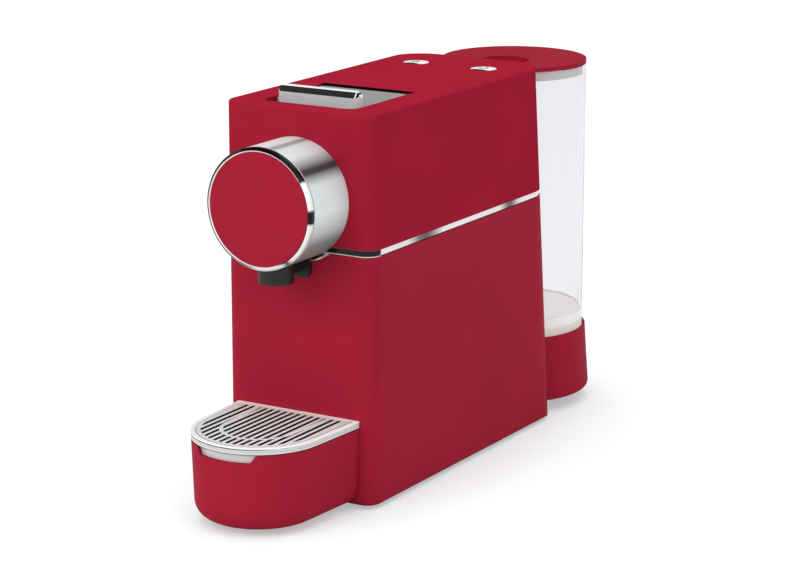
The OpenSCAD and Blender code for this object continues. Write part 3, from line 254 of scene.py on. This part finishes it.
def multiplied(n, first, second):
    """Two colours multiplied."""
    node = n.add("ShaderNodeMix", {"Factor": 1.0}, data_type="RGBA", blend_type="MULTIPLY")
    n.join(first, node.inputs[6])
    n.join(second, node.inputs[7])
    return node.outputs[2]


def seen_directly(n):
    """1 for what the camera sees, also through glass."""
    rays = n.add("ShaderNodeLightPath")
    return maths(n, "MAXIMUM", rays.outputs["Is Camera Ray"], rays.outputs["Is Transmission Ray"])


def surface(name, colour, rough, metallic=0.0, spread=0.04, mottle=0.02, grain=0.0004, depth=0.0,
            stretch=(1, 1, 1), edge=0.0003, specular=0.5, paint=None):
    """A moulded, cast or polished surface: mottled colour, uneven roughness and a fine grain."""
    material, n = new_material(name)
    shader = n.add("ShaderNodeBsdfPrincipled", {"Metallic": metallic, "Specular IOR Level": specular})
    broad = noise(n, 14.0, 3.0)
    fine = noise(n, 1.0 / grain, 2.0, 0.6, stretch)
    tint = ramp(n, broad, linear(shade(colour, 1 - mottle)), linear(shade(colour, 1 + mottle)))
    n.join(paint(n, tint) if paint else tint, shader.inputs["Base Color"])
    n.join(between(n, fine, rough - spread, rough + spread), shader.inputs["Roughness"])
    heights = [(fine, depth)] if depth else []
    if heights or edge:
        n.join(bumped(n, heights, edge), shader.inputs["Normal"])
    show(n, shader.outputs["BSDF"])
    return material


def own_offset(n, centre):
    """x, y and z of the piece's own point, measured from a centre in the same coordinates."""
    coords = n.add("ShaderNodeTexCoord")
    offset = n.add("ShaderNodeVectorMath", operation="SUBTRACT")
    offset.inputs[1].default_value = centre
    n.join(coords.outputs["Object"], offset.inputs[0])
    split = n.add("ShaderNodeSeparateXYZ")
    n.join(offset.outputs["Vector"], split.inputs["Vector"])
    return split.outputs["X"], split.outputs["Y"], split.outputs["Z"]


def own_normal(n):
    """x, y and z of the surface's direction in the piece's own coordinates."""
    coords = n.add("ShaderNodeTexCoord")
    split = n.add("ShaderNodeSeparateXYZ")
    n.join(coords.outputs["Normal"], split.inputs["Vector"])
    return split.outputs["X"], split.outputs["Y"], split.outputs["Z"]


def maths(n, operation, first, second):
    """One sum of two values, each a socket or a number."""
    node = n.add("ShaderNodeMath", operation=operation)
    for i, value in enumerate((first, second)):
        if isinstance(value, (int, float)):
            node.inputs[i].default_value = value
        else:
            n.join(value, node.inputs[i])
    return node.outputs["Value"]


def tones_along(n, value, low, high, tones):
    """Colours along a value that runs from low to high; tones lists (value, grey or colour 0-255)."""
    bands = n.add("ShaderNodeValToRGB")
    stops = bands.color_ramp.elements
    while len(stops) < len(tones):
        stops.new(0.5)
    for stop, (at, tone) in zip(stops, tones):
        stop.position = (at - low) / (high - low)
        stop.color = linear(tone if isinstance(tone, tuple) else (tone, tone, tone))
    n.join(between(n, value, 0.0, 1.0, low, high), bands.inputs["Fac"])
    return bands.outputs["Color"]


def in_metres(tones):
    """Tones at places in millimetres, as tones at places in metres."""
    return [(at * MM, tone) for at, tone in tones]


def every(n, first, *others):
    """1 where all the tests are 1."""
    for test in others:
        first = maths(n, "MULTIPLY", first, test)
    return first


def distance(n, first, second):
    """The length of a vector with two parts."""
    square = maths(n, "ADD", maths(n, "MULTIPLY", first, first), maths(n, "MULTIPLY", second, second))
    return maths(n, "SQRT", square, 0.0)


def plain(n, colour):
    """One colour as a socket."""
    node = n.add("ShaderNodeRGB")
    node.outputs[0].default_value = linear(colour)
    return node.outputs[0]


def choose(n, test, if_low, if_high):
    """One of two colours: the second where the test value is 1."""
    node = n.add("ShaderNodeMix", data_type="RGBA")
    n.join(test, node.inputs["Factor"])
    n.join(if_low, node.inputs[6])
    n.join(if_high, node.inputs[7])
    return node.outputs[2]


def metal_with_painted_light(name, paint, rough, metallic=0.2, specular=0.4, streak=0.06, grain=3000.0,
                stretch=(1, 1, 1), glow=0.0):
    """Plated or satin metal with a fine brushed grain, whose painted reflections, highlights and shade, the
    light and dark bands, are drawn by paint(n).

    Glow is the share of the bands' own tone that shows whatever the light: painted light, as the metal glows
    by itself.
    """
    material, n = new_material(name)
    shader = n.add(
        "ShaderNodeBsdfPrincipled",
        {"Metallic": metallic, "Specular IOR Level": specular, "Emission Strength": glow},
    )
    fine = noise(n, grain, 2.0, 0.6, stretch)
    low = 1 - streak
    bands = multiplied(n, paint(n), ramp(n, fine, (low, low, low, 1), (1, 1, 1, 1)))
    n.join(bands, shader.inputs["Base Color"])
    n.join(bands, shader.inputs["Emission Color"])
    n.join(between(n, fine, max(rough - 0.04, 0.02), rough + 0.04), shader.inputs["Roughness"])
    show(n, shader.outputs["BSDF"])
    return material


def turn_degrees(n, x, z):
    """Angle round a y axis, from the top towards +x."""
    return maths(n, "MULTIPLY", maths(n, "ARCTAN2", x, z), 180 / math.pi)


def sleeve_reflection_paint(n):
    """Painted reflections: light and dark bands along the turned sleeve."""
    x, _, z = own_offset(n, own_point("nose_sleeve", nose_axis))
    return tones_along(n, turn_degrees(n, x, z), -180, 180, SLEEVE_REFLECTION_TONES)


def rim_reflection_paint(n):
    """Painted reflections and highlights: the rim's flat front, its bevel, its side and its rear edge each
    have bands of their own.
    """
    x, y, z = own_offset(n, own_point("nose_rim", (0.0, rim_lo[1], nose_axis[2])))
    turn = turn_degrees(n, x, z)
    rim_r = (rim_hi[0] - rim_lo[0]) / 2
    front, bevel, side, rear = (tones_along(n, turn, -180, 180, tones) for tones in RIM_REFLECTION_TONES)
    outer = choose(n, maths(n, "GREATER_THAN", y, RIM_BEVEL), bevel, side)
    outer = choose(n, maths(n, "GREATER_THAN", y, RIM_EDGE), outer, rear)
    return choose(n, maths(n, "GREATER_THAN", distance(n, x, z), rim_r - RIM_FRONT), front, outer)


def belt_reflection_paint(n):
    """Painted reflections: dark round the front corners, bright along the sides with two dark patches."""
    _, y, z = own_offset(n, own_point("belt", (0.0, belt_lo[1], belt_lo[2])))
    height = belt_hi[2] - belt_lo[2]
    along = tones_along(n, y, 0.0, belt_hi[1] - belt_lo[1], in_metres(BELT_REFLECTION_TONES))
    band = tones_along(n, z, 0.0, height, in_metres(BELT_SIDE_REFLECTIONS))
    front = tones_along(n, z, 0.0, height, in_metres(BELT_FRONT_REFLECTIONS))
    return choose(n, maths(n, "LESS_THAN", y, BELT_CORNER), multiplied(n, along, band), front)


def grip_highlight_paint(n):
    """Painted highlights and reflections: a satin front, a dark bevel under a thin bright highlight on top,
    and a bright end with a dark spot.
    """
    _, _, upward = own_normal(n)
    x, _, z = own_offset(n, own_point("lever_grip", (grip_hi[0], grip_lo[1], grip_hi[2])))
    face = tones_along(n, upward, -1.0, 1.0, GRIP_HIGHLIGHT_TONES)
    end = tones_along(n, x, GRIP_END_HIGHLIGHTS[0][0] * MM, 0.0, in_metres(GRIP_END_HIGHLIGHTS))
    bevel = every(n, maths(n, "GREATER_THAN", upward, 0.3), maths(n, "GREATER_THAN", x, -GRIP_END))
    face = choose(n, bevel, face, end)
    return choose(n, maths(n, "GREATER_THAN", z, -GRIP_TOP), face, plain(n, GRIP_EDGE_HIGHLIGHT))


def recess_shade_paint(n, tint):
    """Painted shade: the wall behind the lever plate is painted dark, as in shadow."""
    x, y, z = own_offset(n, own_point("upper_housing", (0.0, plate_hi[1], plate_hi[2])))
    test = every(
        n,
        maths(n, "GREATER_THAN", y, -RECESS_BEFORE),
        maths(n, "LESS_THAN", y, RECESS_BEHIND),
        maths(n, "LESS_THAN", maths(n, "ABSOLUTE", x, 0.0), plate_hi[0] + RECESS_BESIDE),
        maths(n, "LESS_THAN", z, RECESS_ABOVE),
    )
    return choose(n, test, tint, plain(n, RECESS_SHADE))


def button_reflection_paint(node):
    """The painted reflection of one button: dark along the edge that faces the front, a highlight over the
    rest.
    """
    lo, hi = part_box(node)
    centre = own_point(node, ((lo[0] + hi[0]) / 2, (lo[1] + hi[1]) / 2, hi[2]))

    def paint(n):
        _, y, _ = own_offset(n, centre)
        return tones_along(n, y, -BUTTON_SPAN, BUTTON_SPAN, in_metres(BUTTON_REFLECTION_TONES))

    return paint


def grate_slot_shade_paint(n):
    """A bright top, with painted shade on the walls in the slots."""
    _, _, upward = own_normal(n)
    return tones_along(n, upward, -1.0, 1.0, GRATE_SLOT_SHADE_TONES)


def tray_reflection_and_shade_paint(n):
    """Painted reflection bands on the rim's side, a painted highlight on top, and painted shade on the inside
    that faces the heart of the tray.
    """
    x, y, z = own_offset(n, own_point("drip_tray", tray_heart))
    coords = n.add("ShaderNodeTexCoord")
    heart = n.add("ShaderNodeCombineXYZ")
    for value, socket in zip((x, y, z), ("X", "Y", "Z")):
        n.join(value, heart.inputs[socket])
    facing = n.add("ShaderNodeVectorMath", operation="DOT_PRODUCT")
    n.join(heart.outputs["Vector"], facing.inputs[0])
    n.join(coords.outputs["Normal"], facing.inputs[1])
    under_grate = grate_lo[2] - TRAY_DARK_GAP - tray_heart[2]
    faces_heart = maths(n, "LESS_THAN", facing.outputs["Value"], 0.0)
    inside = every(n, faces_heart, maths(n, "LESS_THAN", z, under_grate))
    top = tray_hi[2] - tray_heart[2]
    rim = [(top + at, tone) for at, tone in in_metres(TRAY_RIM_REFLECTIONS)]
    side = tones_along(n, z, rim[0][0], top, rim)
    line = tones_along(n, x, tray_lo[0], tray_hi[0], in_metres(TRAY_LINE_REFLECTION))
    low, high = (top + at for at in TRAY_LINE)
    across = every(n, maths(n, "GREATER_THAN", z, low), maths(n, "LESS_THAN", z, high))
    return choose(n, inside, choose(n, across, side, line), plain(n, TRAY_INSIDE_SHADE))


def clear_plastic(name, colour, frost_point, floor_r, rough, ior):
    """Clear moulded plastic over a frosted foot that glows by itself, a painted light. Shadow rays pass it,
    so it casts only a faint shadow.

    The foot ends at the height of frost_point, on the tank's axis, where the floor has the radius floor_r.
    """
    material, n = new_material(name)
    clear = n.add(
        "ShaderNodeBsdfPrincipled",
        {"Base Color": linear(colour), "Roughness": rough, "IOR": ior, "Transmission Weight": 1.0},
    )
    n.join(bumped(n, [(noise(n, 9.0, 1.0, 0.4), WALL_RIPPLE)]), clear.inputs["Normal"])
    x, y, z = own_offset(n, frost_point)
    faces_up = maths(n, "GREATER_THAN", own_normal(n)[2], 0.5)
    edge = every(n, faces_up, maths(n, "GREATER_THAN", distance(n, x, y), floor_r - FLOOR_EDGE))
    frost = n.add("ShaderNodeBsdfDiffuse")
    tones = tones_along(n, z, FOOT_TONES[0][0] * MM, 0.0, in_metres(FOOT_TONES))
    n.join(choose(n, edge, tones, plain(n, FLOOR_LINE)), frost.inputs["Color"])
    # The foot glows by itself: painted light, brighter on its floor than on its walls.
    lit = n.add("ShaderNodeEmission", {"Strength": 1.0})
    n.join(choose(n, faces_up, plain(n, WALL_GLOW), plain(n, FLOOR_GLOW)), lit.inputs["Color"])
    foot = n.add("ShaderNodeAddShader")
    n.join(frost.outputs["BSDF"], foot.inputs[0])
    n.join(lit.outputs["Emission"], foot.inputs[1])
    above = between(n, z, 0.0, 1.0, 0.0, FROST_FADE)
    clearness = between(n, above, FOOT_CLEARNESS, 1.0, 0.0, 1.0)
    wall = mixed(n, clearness, foot.outputs["Shader"], clear.outputs["BSDF"])
    see_through = n.add("ShaderNodeBsdfTransparent", {"Color": SHADOW_TINT})
    rays = n.add("ShaderNodeLightPath")
    show(n, mixed(n, rays.outputs["Is Shadow Ray"], wall, see_through.outputs["BSDF"]))
    return material


def own_point(node, point):
    """A point of the whole part, in the node's own coordinates."""
    return tuple(frame["nodes"][node].matrix_world.inverted() @ Vector(point))


# ---------- places that the painted bands are measured from ----------
nose_lo, nose_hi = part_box("nose_sleeve")
nose_axis = ((nose_lo[0] + nose_hi[0]) / 2, 0.0, (nose_lo[2] + nose_hi[2]) / 2)
tray_lo, tray_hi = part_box("drip_tray")
tray_heart = (0.0, (tray_lo[1] + tray_hi[1]) / 2, (tray_lo[2] + tray_hi[2]) / 2 + TRAY_HEART_RISE)
grate_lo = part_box("grate")[0]
tank_lo, tank_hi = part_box("water_tank")
tank_foot_top = (0.0, (tank_lo[1] + tank_hi[1]) / 2, tank_lo[2] + TANK_FLOOR)
tank_floor_r = (tank_hi[0] - tank_lo[0]) / 2 - TANK_WALL
rim_lo, rim_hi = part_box("nose_rim")
belt_lo, belt_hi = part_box("belt")
grip_lo, grip_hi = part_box("lever_grip")
plate_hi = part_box("lever_plate")[1]

MATERIALS = {
    "red": surface("red_shell", RED, 0.5, grain=SHELL_GRAIN, depth=0.000012, edge=0.0005,
                   specular=0.025),
    "red_top": surface("red_upper_shell", RED, 0.5, grain=SHELL_GRAIN, depth=0.000012, edge=0.0005,
                       specular=0.0, paint=recess_shade_paint),
    "red_disc": surface("red_disc_paint", RED, 0.42, grain=SHELL_GRAIN, depth=0.000006, specular=0.03),
    "black": surface("black_plastic", BLACK, 0.5, grain=0.0007, depth=0.00003, mottle=0.08),
    "grey": surface("grey_plastic", GREY, 0.45, grain=0.0006, depth=0.00001),
    "seal": surface("seal_rubber", SEAL_GREY, 0.6, grain=0.0008, depth=0.00001, specular=0.3),
    "chrome": surface("chrome_trim", CHROME, 0.07, metallic=1.0, spread=0.02, grain=0.02, mottle=0.01),
    # The satin, rim, belt, grip, button and tray metals glow a little by themselves: painted light.
    "satin": metal_with_painted_light("satin_sleeve", sleeve_reflection_paint, 0.32, 0.08, 0.3, stretch=(1, 0.03, 1), glow=0.065),
    "rim": metal_with_painted_light("plated_rim", rim_reflection_paint, 0.1, 0.25, 0.3, streak=0.02, glow=0.12),
    "belt": metal_with_painted_light("plated_belt", belt_reflection_paint, 0.1, 0.12, 0.3, streak=0.02, glow=0.17),
    "lever": surface("lever_metal", SATIN, 0.4, metallic=0.3, spread=0.12, mottle=0.04, grain=0.0009,
                     depth=0.00006, specular=0.3),
    "grip": metal_with_painted_light("satin_grip", grip_highlight_paint, 0.25, 0.2, 0.3, streak=0.05, stretch=(0.02, 1, 1),
                        glow=0.14),
    "left_button": metal_with_painted_light("plated_button_left", button_reflection_paint("left_button"), 0.1, 0.2, 0.3,
                               streak=0.02, glow=0.35),
    "right_button": metal_with_painted_light("plated_button_right", button_reflection_paint("right_button"), 0.1, 0.2, 0.3,
                                streak=0.02, glow=0.35),
    "grate": metal_with_painted_light("plated_grate", grate_slot_shade_paint, 0.28, 0.1, 0.2, streak=0.03, grain=1500.0),
    "tray": metal_with_painted_light("plated_tray", tray_reflection_and_shade_paint, 0.22, 0.15, 0.3, streak=0.02, grain=1500.0,
                        glow=0.17),
    "steel": surface("steel", STEEL, 0.3, metallic=1.0, grain=0.0004, depth=0.000004, stretch=(0.06, 1, 1)),
    "aluminium": surface("cast_aluminium", ALUMINIUM, 0.4, metallic=1.0, grain=0.0012, depth=0.00003),
    "rubber": surface("rubber", RUBBER, 0.75, grain=0.0009, depth=0.00003, mottle=0.06, specular=0.3),
    "silicone": surface("silicone_hose", SILICONE, 0.5, grain=0.001, depth=0.00001, mottle=0.03),
    "circuit": surface("circuit_board", CIRCUIT, 0.35, grain=0.0015, depth=0.00002, mottle=0.12),
    "clear": clear_plastic("clear_tank", CLEAR, own_point("water_tank", tank_foot_top), tank_floor_r,
                           0.02, 1.25),
}

FINISH = {
    "red_top": ["upper_housing"],
    "red": ["lower_housing", "tank_base", "tank_lid", "tray_housing"],
    "red_disc": ["front_disc"],
    "chrome": ["nose_foot_ring"],
    "rim": ["nose_rim"],
    "belt": ["belt"],
    "left_button": ["left_button"],
    "right_button": ["right_button"],
    "satin": ["nose_sleeve"],
    "lever": ["lever_plate"],
    "grip": ["lever_grip"],
    "grate": ["grate"],
    "tray": ["drip_tray"],
    "seal": ["lid_seal"],
    "clear": ["water_tank"],
    "black": ["nose_core", "spout", "spout_bracket", "bottom_plate", "pod_chute", "pod_bin"],
}
BY_SLOT = {
    "red_plastic": "red", "black_plastic": "black", "chrome": "chrome", "satin_silver": "satin",
    "silver_plastic": "tray", "steel": "steel", "aluminium": "aluminium", "rubber": "rubber",
    "clear_plastic": "clear", "grey_plastic": "grey", "hose_silicone": "silicone", "circuit_green": "circuit",
}


def dress():
    """Gives each CAD node its finish: the one named for it, or the one of its material slot."""
    named = {node: finish for finish, nodes in FINISH.items() for node in nodes}
    slots = {}
    for entry in frame["record"]["materials"]:
        for node in entry.get("nodes", []):
            slots[node] = entry["slot"]
    for node, piece in frame["nodes"].items():
        finish = named.get(node)
        if finish is None:
            current = ""
            if piece.material_slots:
                current = piece.material_slots[0].material.name.split(".")[0]
            finish = BY_SLOT.get(slots.get(node, current), "grey")
        if not piece.material_slots:
            piece.data.materials.append(None)
        for entry in piece.material_slots:
            entry.material = MATERIALS[finish]


dress()

# ---------- studio ----------
FLOOR_HALF = 30.0
KEY_AIM = Vector((0.0, 0.02, 0.12))
CARD_AIM_HEIGHT = 0.23
CONTACT_REACH = 0.09
CONTACT_SHADE = (0.72, 0.73, 0.74, 1)
WHITE = (1, 1, 1, 1)
PAPER = (0.8, 0.8, 0.8, 1.0)
SEEN_PAPER = (0.57, 0.62, 0.62, 1.0)
ROOM_BELOW = (0.72, 0.72, 0.73, 1)
ROOM_ABOVE = (0.95, 0.95, 0.95, 1)


def quad(name, half_w, half_h):
    """A flat piece of the studio."""
    mesh = bpy.data.meshes.new(name)
    mesh.from_pydata(
        [(-half_w, -half_h, 0), (half_w, -half_h, 0), (half_w, half_h, 0), (-half_w, half_h, 0)],
        [], [(0, 1, 2, 3)],
    )
    piece = bpy.data.objects.new(name, mesh)
    bpy.context.scene.collection.objects.link(piece)
    return piece


def floor_material():
    """A pale floor: white to the camera and in glass, with the object's shadow kept."""
    material, n = new_material("studio_floor")
    paper = n.add("ShaderNodeBsdfDiffuse", {"Color": PAPER})
    seen_paper = n.add("ShaderNodeBsdfDiffuse", {"Color": SEEN_PAPER})
    glow = n.add("ShaderNodeEmission", {"Strength": 0.56})
    # The glow dims near the object by ambient occlusion: a painted contact shadow besides the lamps' real
    # shadow on the paper.
    contact = n.add("ShaderNodeAmbientOcclusion", {"Distance": CONTACT_REACH}, samples=8)
    n.join(ramp(n, contact.outputs["AO"], CONTACT_SHADE, WHITE, 0.3, 0.9), glow.inputs["Color"])
    both = n.add("ShaderNodeAddShader")
    n.join(seen_paper.outputs["BSDF"], both.inputs[0])
    n.join(glow.outputs["Emission"], both.inputs[1])
    show(n, mixed(n, seen_directly(n), paper.outputs["BSDF"], both.outputs["Shader"]))
    return material


floor = quad("studio_floor", FLOOR_HALF, FLOOR_HALF)
floor.data.materials.append(floor_material())


def world_light():
    """An even studio: white behind the object, a soft grey room in its reflections."""
    world = bpy.data.worlds.new("studio")
    bpy.context.scene.world = world
    world.use_nodes = True
    n = Nodes(world.node_tree)
    coords = n.add("ShaderNodeTexCoord")
    split = n.add("ShaderNodeSeparateXYZ")
    n.join(coords.outputs["Generated"], split.inputs["Vector"])
    height = between(n, split.outputs["Z"], 0.0, 1.0, -0.1, 0.9)
    lit = n.add("ShaderNodeBackground", {"Strength": 0.86})
    n.join(ramp(n, height, ROOM_BELOW, ROOM_ABOVE, 0.05, 0.7), lit.inputs["Color"])
    white = n.add("ShaderNodeBackground", {"Color": WHITE, "Strength": 1.0})
    out = n.add("ShaderNodeOutputWorld")
    seen = mixed(n, seen_directly(n), lit.outputs["Background"], white.outputs["Background"])
    n.join(seen, out.inputs["Surface"])


def place_facing(piece, location, aim):
    """Puts a piece at a place, with its own -z pointing at the aim."""
    piece.location = location
    piece.rotation_euler = (Vector(aim) - Vector(location)).to_track_quat("-Z", "Y").to_euler()


def lamp(name, location, aim, size, power):
    """A soft rectangular lamp that doesn't show itself."""
    light = bpy.data.lights.new(name, "AREA")
    light.shape = "RECTANGLE"
    light.size, light.size_y = size
    light.energy = power
    piece = bpy.data.objects.new(name, light)
    bpy.context.scene.collection.objects.link(piece)
    piece.visible_camera = False
    place_facing(piece, location, aim)
    return piece


def card(name, location, aim, size, level):
    """A card that shows only in reflections: dark ones are flags, bright ones are strip lights."""
    piece = quad(name, size[0] / 2, size[1] / 2)
    place_facing(piece, location, aim)
    material, n = new_material(name)
    glow = n.add("ShaderNodeEmission", {"Color": (level, level, level, 1), "Strength": 1.0})
    show(n, glow.outputs["Emission"])
    piece.data.materials.append(material)
    piece.visible_camera = False
    piece.visible_diffuse = False
    piece.visible_shadow = False
    piece.visible_transmission = False
    return piece


# ---------- button marks ----------
MARK_W = 0.6 * MM
MARK_LIFT = 0.05 * MM
CROWN_RISE = 0.8 * MM
CROWN_RIM_R = 9.0 * MM
SMALL_CUP = (4.2, 3.0)
LARGE_CUP = (6.0, 4.4)


def arc(x, y, rx, ry, first, last, steps):
    """Points of an elliptic arc, angles in degrees."""
    turns = [math.radians(first + (last - first) * i / steps) for i in range(steps + 1)]
    return [(x + rx * math.cos(t), y + ry * math.sin(t)) for t in turns]


def cup_strokes(w, h):
    """Strokes of a plain cup on a saucer with two wisps above it, in millimetres round the middle."""
    foot = -3.2
    wisps = [
        [(x + 0.35 * math.sin(2.6 * i), foot + h + 1.0 + 0.45 * i) for i in range(5)]
        for x in (-0.9, 0.9)
    ]
    return [
        arc(0, foot + h, w / 2, h, 180, 360, 16) + [(-w / 2, foot + h)],
        arc(w / 2 + 0.2, foot + 0.62 * h, 0.9, 0.9, -110, 110, 8),
        [(-w / 2 - 0.8, foot - 0.5), (0, foot - 0.5), (w / 2 + 0.8, foot - 0.5)],
    ] + wisps


def button_mark(node, strokes, material):
    """Thin raised strokes that follow a button's crown."""
    lo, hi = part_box(node)
    cx, cy = (lo[0] + hi[0]) / 2, (lo[1] + hi[1]) / 2
    crown_r = (CROWN_RIM_R ** 2 + CROWN_RISE ** 2) / (2 * CROWN_RISE)
    build = bmesh.new()
    for stroke in strokes:
        rows = []
        for i, (x, y) in enumerate(stroke):
            before, after = stroke[max(i - 1, 0)], stroke[min(i + 1, len(stroke) - 1)]
            along = Vector((after[0] - before[0], after[1] - before[1]))
            side = Vector((-along.y, along.x)).normalized() * MARK_W / 2
            row = []
            for sign, lift in ((1, -MARK_LIFT), (1, MARK_LIFT), (-1, MARK_LIFT), (-1, -MARK_LIFT)):
                px, py = x * MM + sign * side.x, y * MM + sign * side.y
                drop = crown_r - math.sqrt(crown_r ** 2 - px * px - py * py)
                row.append(build.verts.new((cx + px, cy + py, hi[2] - drop + lift)))
            rows.append(row)
        for near, far in zip(rows, rows[1:]):
            for k in range(4):
                build.faces.new((near[k], near[(k + 1) % 4], far[(k + 1) % 4], far[k]))
        build.faces.new(rows[0][::-1])
        build.faces.new(rows[-1])
    bmesh.ops.recalc_face_normals(build, faces=build.faces)
    mesh = bpy.data.meshes.new(node + "_mark")
    build.to_mesh(mesh)
    build.free()
    mesh.materials.append(material)
    piece = bpy.data.objects.new(node + "_mark", mesh)
    bpy.context.scene.collection.objects.link(piece)
    return piece


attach(button_mark("left_button", cup_strokes(*SMALL_CUP), MATERIALS["black"]), "button_left")
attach(button_mark("right_button", cup_strokes(*LARGE_CUP), MATERIALS["black"]), "button_right")

# ---------- light ----------
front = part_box("upper_housing")[0][1]


def studio_point(x, y, z):
    """A point given from the middle of the body's front face at table height."""
    return (x, front + y, z)


card_aim = studio_point(0, 0, CARD_AIM_HEIGHT)
world_light()
lamp("key_light", studio_point(-0.6, -1.8, 1.3), KEY_AIM, (1.7, 1.5), 13.2)
lamp("top_light", studio_point(0.1, 0.23, 2.2), KEY_AIM, (1.6, 1.6), 5.5)
card("ceiling_flag", studio_point(-0.585, -0.26, 1.36), card_aim, (1.2, 1.1), 0.03)
card("strip_light", studio_point(0.84, -0.66, 0.71), card_aim, (0.7, 0.7), 1.3)
card("rear_flag", studio_point(-0.9, 1.5, 0.7), studio_point(0, 0.1, 0.25), (2.6, 1.2), 0.12)

# ---------- camera ----------
scene = bpy.context.scene
camera_data = bpy.data.cameras.new("photo_camera")
camera_data.lens = 122.39
camera_data.sensor_width = 36.0
camera_data.clip_end = 100.0
camera = bpy.data.objects.new("photo_camera", camera_data)
scene.collection.objects.link(camera)
camera.location = studio_point(0.936586, -1.426413, 0.570328)
camera.rotation_euler = Euler((math.radians(75.884), 0.0, math.radians(31.178)))
scene.camera = camera
scene.view_settings.view_transform = "Standard"
